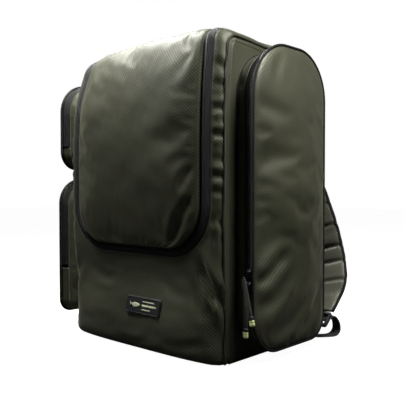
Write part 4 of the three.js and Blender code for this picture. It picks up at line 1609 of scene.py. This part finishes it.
def add_slider(label, rotation, origin, reach, lean, length, bodies, nodes):
    """A slider with its pull. reach is the pull's distance out from the tape."""
    slider_name, pull_name = nodes[:2]
    make(f"{label}_slider_body", placed(slider_body(), rotation, origin), "metal", bodies[0], (slider_name,))
    hang = np.array(origin) + rotation @ np.array(reach)
    turn = rotation @ lean
    make(f"{label}_pull_tape", placed(pull_tape(length), turn, hang), "pull", bodies[1], (pull_name,))
    make(f"{label}_pull_eye", placed(pull_eye(), turn, hang), "metal", bodies[1])
    make(f"{label}_pull_thread", placed(joined(pull_stitches()), turn, hang), "thread", bodies[1])
    if len(nodes) > 2:
        grip = placed(pull_tip(length, COLLAR_SHARE, 1.0), turn, hang)
        collar = placed(pull_tip(length, 0.0, COLLAR_SHARE - 0.02), turn, hang)
        make(f"{label}_pull_grip", grip, "tip", bodies[1], (nodes[2],))
        make(f"{label}_pull_collar", collar, "rubber", bodies[1])


def add_sliders():
    rows = (
        ("right", "_upper", 139, "front", 11.0, 18), ("right", "_lower", 121, "front", 6.5, 0),
        ("left_lower", "", 128, "back", 6.5, 0), ("left_upper", "", 361, "back", 6.5, 0),
    )
    for label, suffix, height, face, reach, lean in rows:
        pocket = POCKETS[label]
        track = pocket["depth"] - ZIP_MIDDLE + pocket["slider_shift"]
        shrink = pocket["flare"] * (1 - track / pocket["depth"])
        tilt = math.atan(pocket["flare"] / pocket["depth"])
        side = pocket["side"]
        if face == "front":
            y = pocket["front"] + shrink - 2 * GAP
            rotation = turned(-side * tilt)
        else:
            y = pocket["back"] - shrink + 2 * GAP
            rotation = turned(math.pi + side * tilt)
        origin = (side * (HALF_WIDTH / MM + track), y, height)
        body = f"{label}{suffix}"
        nodes = [f"{label}_pocket{suffix}_slider", f"{label}_pocket{suffix}_pull"]
        length = SHORT_PULL
        if label == "right":
            nodes.append(f"{label}_pocket{suffix}_pull_tip")
            length = LONG_PULL
        offset = (0, -reach - PULL_THICKNESS / 2 - GAP, -PULL_OFFSET)
        add_slider(
            body, rotation, origin, offset, about_y(-math.radians(lean)), length,
            (f"{body}_slider", f"{body}_pull"), nodes,
        )
    x = -(FLAP_HALF + ZIP_HALF) / MM
    lie_flat = turned(0, -math.pi / 2)
    rise = 4 + 2.5 + GAP + PULL_THICKNESS / 2
    for label, y, toward in (("front", 0, -1), ("rear", 24, 1)):
        flip = turned(0, math.pi if toward > 0 else 0)
        reach = (0, -rise, PULL_OFFSET * toward)
        add_slider(
            f"main_{label}", lie_flat, (x, y, TOP / MM + GAP), reach, flip, SHORT_PULL,
            (f"main_{label}_slider", f"main_{label}_pull"),
            (f"main_zip_{label}_slider", f"main_zip_{label}_pull"),
        )


# ------------------------------------------------------------------ badge


def add_badge():
    low, high = span("badge")
    x0, x1 = low[0] / MM, high[0] / MM
    z0, z1 = low[2] / MM, high[2] / MM
    cx, cz = (x0 + x1) / 2, (z0 + z1) / 2
    face = low[1] / MM

    def seated(surface):
        """Bends the flat badge onto the swollen front."""
        points = surface.points.copy()
        lift = front_lift(points[:, 0] * MM, points[:, 2] * MM) / MM
        points[:, 1] -= lift + 0.3
        return Surface(slump(points * MM), surface.faces, surface.uv * MM)

    plate = fine_slab(rounded_outline(x0, x1, z0, z1, 3.5, 7), face, high[1] / MM + 1.5, 0.9)
    make("badge_plate", seated(plate), "rubber", "root", ("badge",))
    rim_path = rounded_outline(x0 + 1.6, x1 - 1.6, z0 + 1.6, z1 - 1.6, 2.6, 7)
    rim_points = set_at(rim_path, face - 0.1)
    rim_line = resample(np.vstack([rim_points, rim_points[:1]]), 150)[:-1]
    rim = tube(rim_line, 0.55, 7, closed=True, outward=(0, -1, 0))
    make("badge_rim", seated(rim), "rubber", "root")
    body = []
    for t in np.linspace(0, 2 * math.pi, 26, endpoint=False):
        body.append((cx - 16 + 9.5 * math.cos(t), cz + 0.4 + 3.6 * math.sin(t) * (1 - 0.28 * math.cos(t))))
    tail = [(cx - 25.0, cz + 0.4), (cx - 30.5, cz - 3.6), (cx - 29.0, cz + 0.4), (cx - 30.5, cz + 4.4)]
    marks = [slab(body, face - 0.75, face + 0.3, 0.25, 2), slab(tail, face - 0.7, face + 0.3, 0.2, 2)]
    for rise, length, tall in ((6.6, 27, 1.7), (0.4, 33, 3.0), (-5.8, 20, 1.7)):
        z = cz + rise
        bar = rounded_outline(cx - 1, cx - 1 + length, z - tall / 2, z + tall / 2, 0.6, 3)
        marks.append(slab(bar, face - 0.7, face + 0.3, 0.25, 2))
    make("badge_marks", seated(joined(marks)), "print", "root")


def fine_slab(outline, y0, y1, bevel):
    """A slab whose broad faces have rings of points, so that they can bend."""
    plate = slab(outline, y0, y1, bevel)
    centre = outline.mean(axis=0)
    shares = (0.25, 0.55, 0.85)
    rim = list(plate.points[:-2].reshape(-1, len(outline), 3))
    upper = [set_at(centre + (outline - centre) * share, y1) for share in shares]
    lower = [set_at(centre + (outline - centre) * share, y0) for share in shares[::-1]]
    points, faces = stacked(upper + rim + lower)
    return Surface(points, faces, points[:, [0, 2]])


# ------------------------------------------------------------------ harness

STRAP_ROUTE = (
    (72, 119.5, 438), (72, 130, 438), (73, 146, 435), (76, 170, 414), (88, 190, 362), (106, 202, 305),
    (128, 209, 245), (148, 212, 188), (163, 209, 138), (177, 194, 92), (187, 174, 62), (190, 164, 53),
    (190.5, 156, 46),
)
LOWER_WEBBING_ROUTE = ((171, 121.5, 11), (174, 122.5, 11.8), (177, 124, 13), (180, 125.5, 14.5))
TAIL_ROUTE = (
    (193, 152, 33), (195.8, 158.4, 36.3), (198.7, 164.8, 36.6), (201.1, 170.3, 32.5), (202.8, 173.9, 25.5),
    (203.6, 175.8, 17), (203.2, 174.9, 9), (201.1, 170.3, 3.4), (197.9, 163, 1.5), (192.9, 154.1, 1.5),
    (186.3, 146.4, 1.5), (178.3, 140.1, 1.5), (169.3, 135.4, 1.5), (159.5, 132.5, 1.5), (149.4, 131.5, 1.5),
    (137, 131.5, 1.5), (125, 131.5, 1.5), (113, 131.5, 1.5), (101, 131.5, 1.5), (84, 131.5, 1.5),
)
# How far the tail's width has turned about the vertical, in degrees, at each share of its length.
TAIL_TURNS = ((0, 0), (0.12, -24), (0.33, -24), (0.66, -90), (1, -90))
WEBBING_WIDTH = 25 * MM
WEBBING_THICKNESS = 2 * MM
STRAP_WIDTH = 70 * MM
STRAP_THICKNESS = 12 * MM


def mirrored(route, sign):
    return np.array(route, float) * [sign, 1, 1] * MM


def add_tails():
    """The free webbing tails below the shoulder straps."""
    for label, sign in (("right", 1), ("left", -1)):
        path = catmull(mirrored(TAIL_ROUTE, sign), 145)
        share = lengths(path) / lengths(path)[-1]
        turn = sign * np.radians(np.interp(share, *zip(*TAIL_TURNS)))
        level = np.column_stack([np.cos(turn), np.sin(turn), np.zeros(len(path))])
        ribbon = flat_strip(path, WEBBING_WIDTH, WEBBING_THICKNESS * 0.9, hint=level)
        piece = make(f"tail_{label}", ribbon, "webbing", "root", (f"webbing_tail_{label}",))
        length = float(lengths(path)[-1])


def padded_strap(path):
    """A foam strap: pleated pillows between rows of stitching across it."""
    across, normal = strip_frames(path)
    walked = lengths(path)
    random = np.random.default_rng(12)
    pleats = np.arange(0.03, walked[-1] - 0.03, 0.034)
    pleats = pleats + random.normal(0, 0.005, len(pleats))
    deep = random.uniform(0.55, 1.15, len(pleats))
    half_t = STRAP_THICKNESS / 2
    pinch = np.zeros(len(path))
    for place, share in zip(pleats, deep):
        pinch = np.maximum(pinch, share * np.exp(-((walked - place) / 3.4e-3) ** 2))
    ends = smoothstep(0, 0.02, walked) * smoothstep(0, 0.03, walked[-1] - walked)
    puff = half_t * (1.28 - 0.68 * pinch) * (0.42 + 0.58 * ends)
    width = STRAP_WIDTH / 2 * (0.46 + 0.54 * smoothstep(0, 0.07, walked[-1] - walked)) * (1 - 0.02 * pinch)
    angle = np.linspace(0, 2 * math.pi, 36, endpoint=False)
    ring_u = blunted(np.cos(angle), 0.75)
    ring_h = blunted(np.sin(angle), 0.8)
    wobble = waves(path, 0.05, 77) * 1.2 * MM * 1.1
    tall = ring_h * puff[:, None] + wobble[:, None]
    cloud = swept(path, across, normal, ring_u * width[:, None], tall)
    around = ring_u * STRAP_WIDTH / 2 + (ring_h < 0) * STRAP_WIDTH
    spine = path + normal * wobble[:, None]
    edges = [spine + across * (sign_u * width)[:, None] for sign_u in (1, -1)]
    crown = half_t * 1.28 * (0.42 + 0.58 * ends)
    return facing_out(ringed(cloud, around, walked)), edges, normal, spine, crown


def softened(node, name, material, width):
    """A CAD piece with its edges rounded over, standing for the CAD node."""
    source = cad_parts[node]
    mesh = source.data.copy()
    mesh.transform(source.matrix_world)
    mesh.materials.clear()
    mesh.materials.append(MATERIALS[material])
    obj = bpy.data.objects.new(name, mesh)
    bpy.context.scene.collection.objects.link(obj)
    work = bmesh.new()
    work.from_mesh(mesh)
    bmesh.ops.remove_doubles(work, verts=work.verts, dist=1e-5)
    flat = math.radians(2)
    bmesh.ops.dissolve_limit(work, angle_limit=flat, verts=work.verts, edges=work.edges)
    work.to_mesh(mesh)
    work.free()
    bevel = obj.modifiers.new("bevel", "BEVEL")
    bevel.width = width
    bevel.segments = 3
    bevel.limit_method = "ANGLE"
    bevel.angle_limit = math.radians(35)
    shown = obj.evaluated_get(bpy.context.evaluated_depsgraph_get())
    rounded = bpy.data.meshes.new_from_object(shown)
    rounded.name = mesh.name
    obj.modifiers.clear()
    obj.data = rounded
    rounded.shade_smooth()
    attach(obj, "root")
    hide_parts(node)


def add_harness():
    for label, sign in (("right", 1), ("left", -1)):
        path = catmull(mirrored(STRAP_ROUTE, sign), 230)
        strap, edges, normal, spine, crown = padded_strap(path)
        piece = make(f"strap_{label}", strap, "pad_nylon", "root", (f"shoulder_strap_{label}",))
        for number, edge in enumerate(edges):
            binding = tube(edge, 2.4 * MM, 9, flat=1.5, outward=normal)
            make(f"strap_{label}_binding_{number}", binding, "piping", "root")
        over = (spine + outer_side(normal, path) * (crown[:, None] + 0.7 * MM))[14:-16]
        daisy = flat_strip(over, WEBBING_WIDTH, WEBBING_THICKNESS)
        make(f"strap_{label}_webbing", daisy, "webbing", "root")
        softened(f"ladder_lock_{label}", f"lock_{label}", "plastic", 0.9 * MM)
        lower = catmull(mirrored(LOWER_WEBBING_ROUTE, sign), 16)
        ribbon = flat_strip(lower, WEBBING_WIDTH, WEBBING_THICKNESS)
        make(f"lower_web_{label}", ribbon, "webbing", "root", (f"lower_webbing_{label}",))


def outer_side(normal, path):
    """The strap's outward direction, away from the bag's middle."""
    away = path - np.array([0, 0.1, 0.25])
    facing = np.sign((normal * away).sum(1, keepdims=True))
    facing[facing == 0] = 1
    return normal * facing


def add_haul_loop():
    low, high = span("haul_loop")
    y = (low[1] + high[1]) / 2
    half = ((40, 488), (40, 474), (36, 462), (24, 453))
    route = [(-x, z) for x, z in half] + [(0, 450)] + list(half[::-1])
    points = np.array([(x * MM, y, z * MM) for x, z in route])
    path = catmull(points, 74)
    along = tangents(path)
    depth = np.array([[0, 1.0, 0]])
    across = unit(np.cross(along, depth))
    thick, wide = 2.3 * MM, 7 * MM
    walked = lengths(path)
    grip = np.exp(-((walked - walked[-1] / 2) / 0.03) ** 4)
    angle = np.linspace(0, 2 * math.pi, 20, endpoint=False)
    ring_a = blunted(np.cos(angle), 0.6)
    ring_b = blunted(np.sin(angle), 0.6)
    half_a = wide * (1 - 0.28 * grip)
    half_b = thick * (1 + 0.7 * grip)
    cloud = swept(path, across, depth, ring_a * half_a[:, None], ring_b * half_b[:, None])
    loop = facing_out(ringed(cloud, ring_a * wide, walked))
    make("carry_loop", loop, "webbing", "haul_loop", ("haul_loop",))


def off_channel(channel, x, z):
    """Signed distance from a sewn channel, across the pad or up both its sides."""
    kind, place = channel
    return z - place if kind == "z" else np.abs(x) - place


def pad_place(u, v, lift):
    return np.stack([-u, BACK + 1.0 * MM + lift, v], axis=-1)


def add_back_pad(node, name, channels, tailor):
    """A padded panel of spacer mesh on the back, with sewn channels."""
    low, high = span(node)
    half = high[0] / MM
    bottom, top = low[2] / MM, high[2] / MM
    radius, roll = 26, 3
    turn = np.linspace(0, math.pi / 2, 9)
    lower = bottom + roll + (radius - roll) * (1 - np.cos(turn))
    upper = top - roll - (radius - roll) * (1 - np.cos(turn[::-1]))
    middle = np.linspace(lower[-1], upper[0], max(8, int((upper[0] - lower[-1]) / 3.6)))[1:-1]
    heights = np.concatenate([lower, middle, upper])
    edge = arch_ends(heights, bottom + roll, top - roll, radius - roll, radius - roll, half - roll)
    grid = panel_grid(heights * MM, -edge * MM, edge * MM, 66)
    thick = (high[1] - low[1]) / MM
    shape = dict(
        front=-half, back=half, bottom=bottom, top=top, top_front=radius, top_back=radius,
        low_front=radius, low_back=radius,
    )

    def height(flat):
        x, z = flat[:, 0] / MM, flat[:, 1] / MM
        inside = np.maximum(face_depth(shape, x, z), 0)
        lift = thick - 5.2 - 3.4 * (1 - np.clip((inside - roll) / 16, 0, 1)) ** 2.2
        lift = lift + 6.4 * smoothstep(0, 22, inside)
        for channel in channels:
            lift = lift - 6.2 * np.exp(-(off_channel(channel, x, z) / 3.4) ** 2) * smoothstep(4, 14, inside)
        points = np.column_stack([x, np.zeros(len(x)), z]) * MM
        return (lift + waves(points, 0.06, 91) * 0.5) * MM

    skin = panel_skin(grid, pad_place, height)
    rows, columns = grid.shape[:2]
    flat = grid.reshape(-1, 2) / MM
    pinned = set(border_of(rows, columns).tolist())
    for channel in channels:
        pinned |= set(np.nonzero(np.abs(off_channel(channel, *flat.T)) < 1.9)[0].tolist())
    tailor.add(skin, sorted(pinned), pressure=0.8, swell=0.01, cap=2.5 * MM, bending=0.8)

    def finish():
        rings = [(0.8 * MM, 3.0 * MM), (1.8 * MM, 2.0 * MM), (2.4 * MM, 1.0 * MM), (2.6 * MM, 0.0)]
        closed = panel_closed(skin, grid, pad_place, rings, -0.6 * MM)
        piece = make(name, closed, "mesh", "root", (node,))
        loop = pocket_loop(shape, 0.2, 4.0)
        points = np.column_stack([-loop[:, 0] * MM, np.full(len(loop), BACK + 2.2 * MM), loop[:, 1] * MM])
        binding = tube(points, 1.9 * MM, 8, closed=True, outward=(0, 1, 0))
        make(f"{name}_binding", binding, "piping", "root")
    return finish


# ------------------------------------------------------------------ stitching


STITCH_PITCH = 3.4 * MM
STITCH_LENGTH = 2.3 * MM
STITCH_RADIUS = 0.32 * MM


def stitch_row(points, outward, lift):
    """A row of raised stitches along a line, standing off it by lift."""
    points = np.asarray(points)
    walked = lengths(points)
    starts = np.arange(STITCH_PITCH, walked[-1] - STITCH_PITCH, STITCH_PITCH)
    out = unit(outward)
    grains = []
    for start in starts:
        ends = []
        for place in (start, start + STITCH_LENGTH):
            point = np.array([np.interp(place, walked, points[:, k]) for k in range(3)])
            away = np.array([np.interp(place, walked, out[:, k]) for k in range(3)])
            ends.append(point + away * lift)
        grains.append(capsule(ends[0], ends[1], STITCH_RADIUS))
    return joined(grains)


def add_stitching():
    outer = door_outline(SURROUND_OFFSET + 3.0 * MM)
    keep = outer[:, 1] < V_HINGE - 4 * MM
    line = outer[keep]
    points, normal = wrap(line[:, 0], line[:, 1], np.zeros(len(line)))
    make("zip_stitches", stitch_row(points, normal, lift=0.9 * MM), "thread", "root")
    for label, pocket in POCKETS.items():
        start = pocket["depth"] - ZIP_START - 2.5
        rows, _ = pocket_ring(pocket, (start,), None, -0.2)
        path = np.vstack([rows[0], rows[0][:1]])
        middle = path.mean(axis=0)
        outward = unit((path - middle) * [0, 1, 1])
        make(f"{label}_gusset_stitches", stitch_row(path, outward, lift=0.3 * MM), "thread", "root")


# ------------------------------------------------------------------ the bag

add_camera()
add_tails()
add_stage()

for name in ("base_board", "frame_sheet"):
    for material_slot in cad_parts[name].material_slots:
        material_slot.material = MATERIALS["board"]

tailor = Tailor()
finishers = [add_flap(tailor)]
finishers += [add_pocket(label, pocket, tailor) for label, pocket in POCKETS.items()]
finishers.append(add_back_pad("upper_back_pad", "back_pad", (("z", 310), ("x", 20)), tailor))
finishers.append(add_back_pad("lumbar_pad", "low_pad", (("x", 44),), tailor))
tailor.settle()
for finish_piece in finishers:
    finish_piece()

add_body()
add_side_panels()
add_base()
add_corner_piping()
add_main_zip()
add_sliders()
add_badge()
add_harness()
add_haul_loop()
add_stitching()
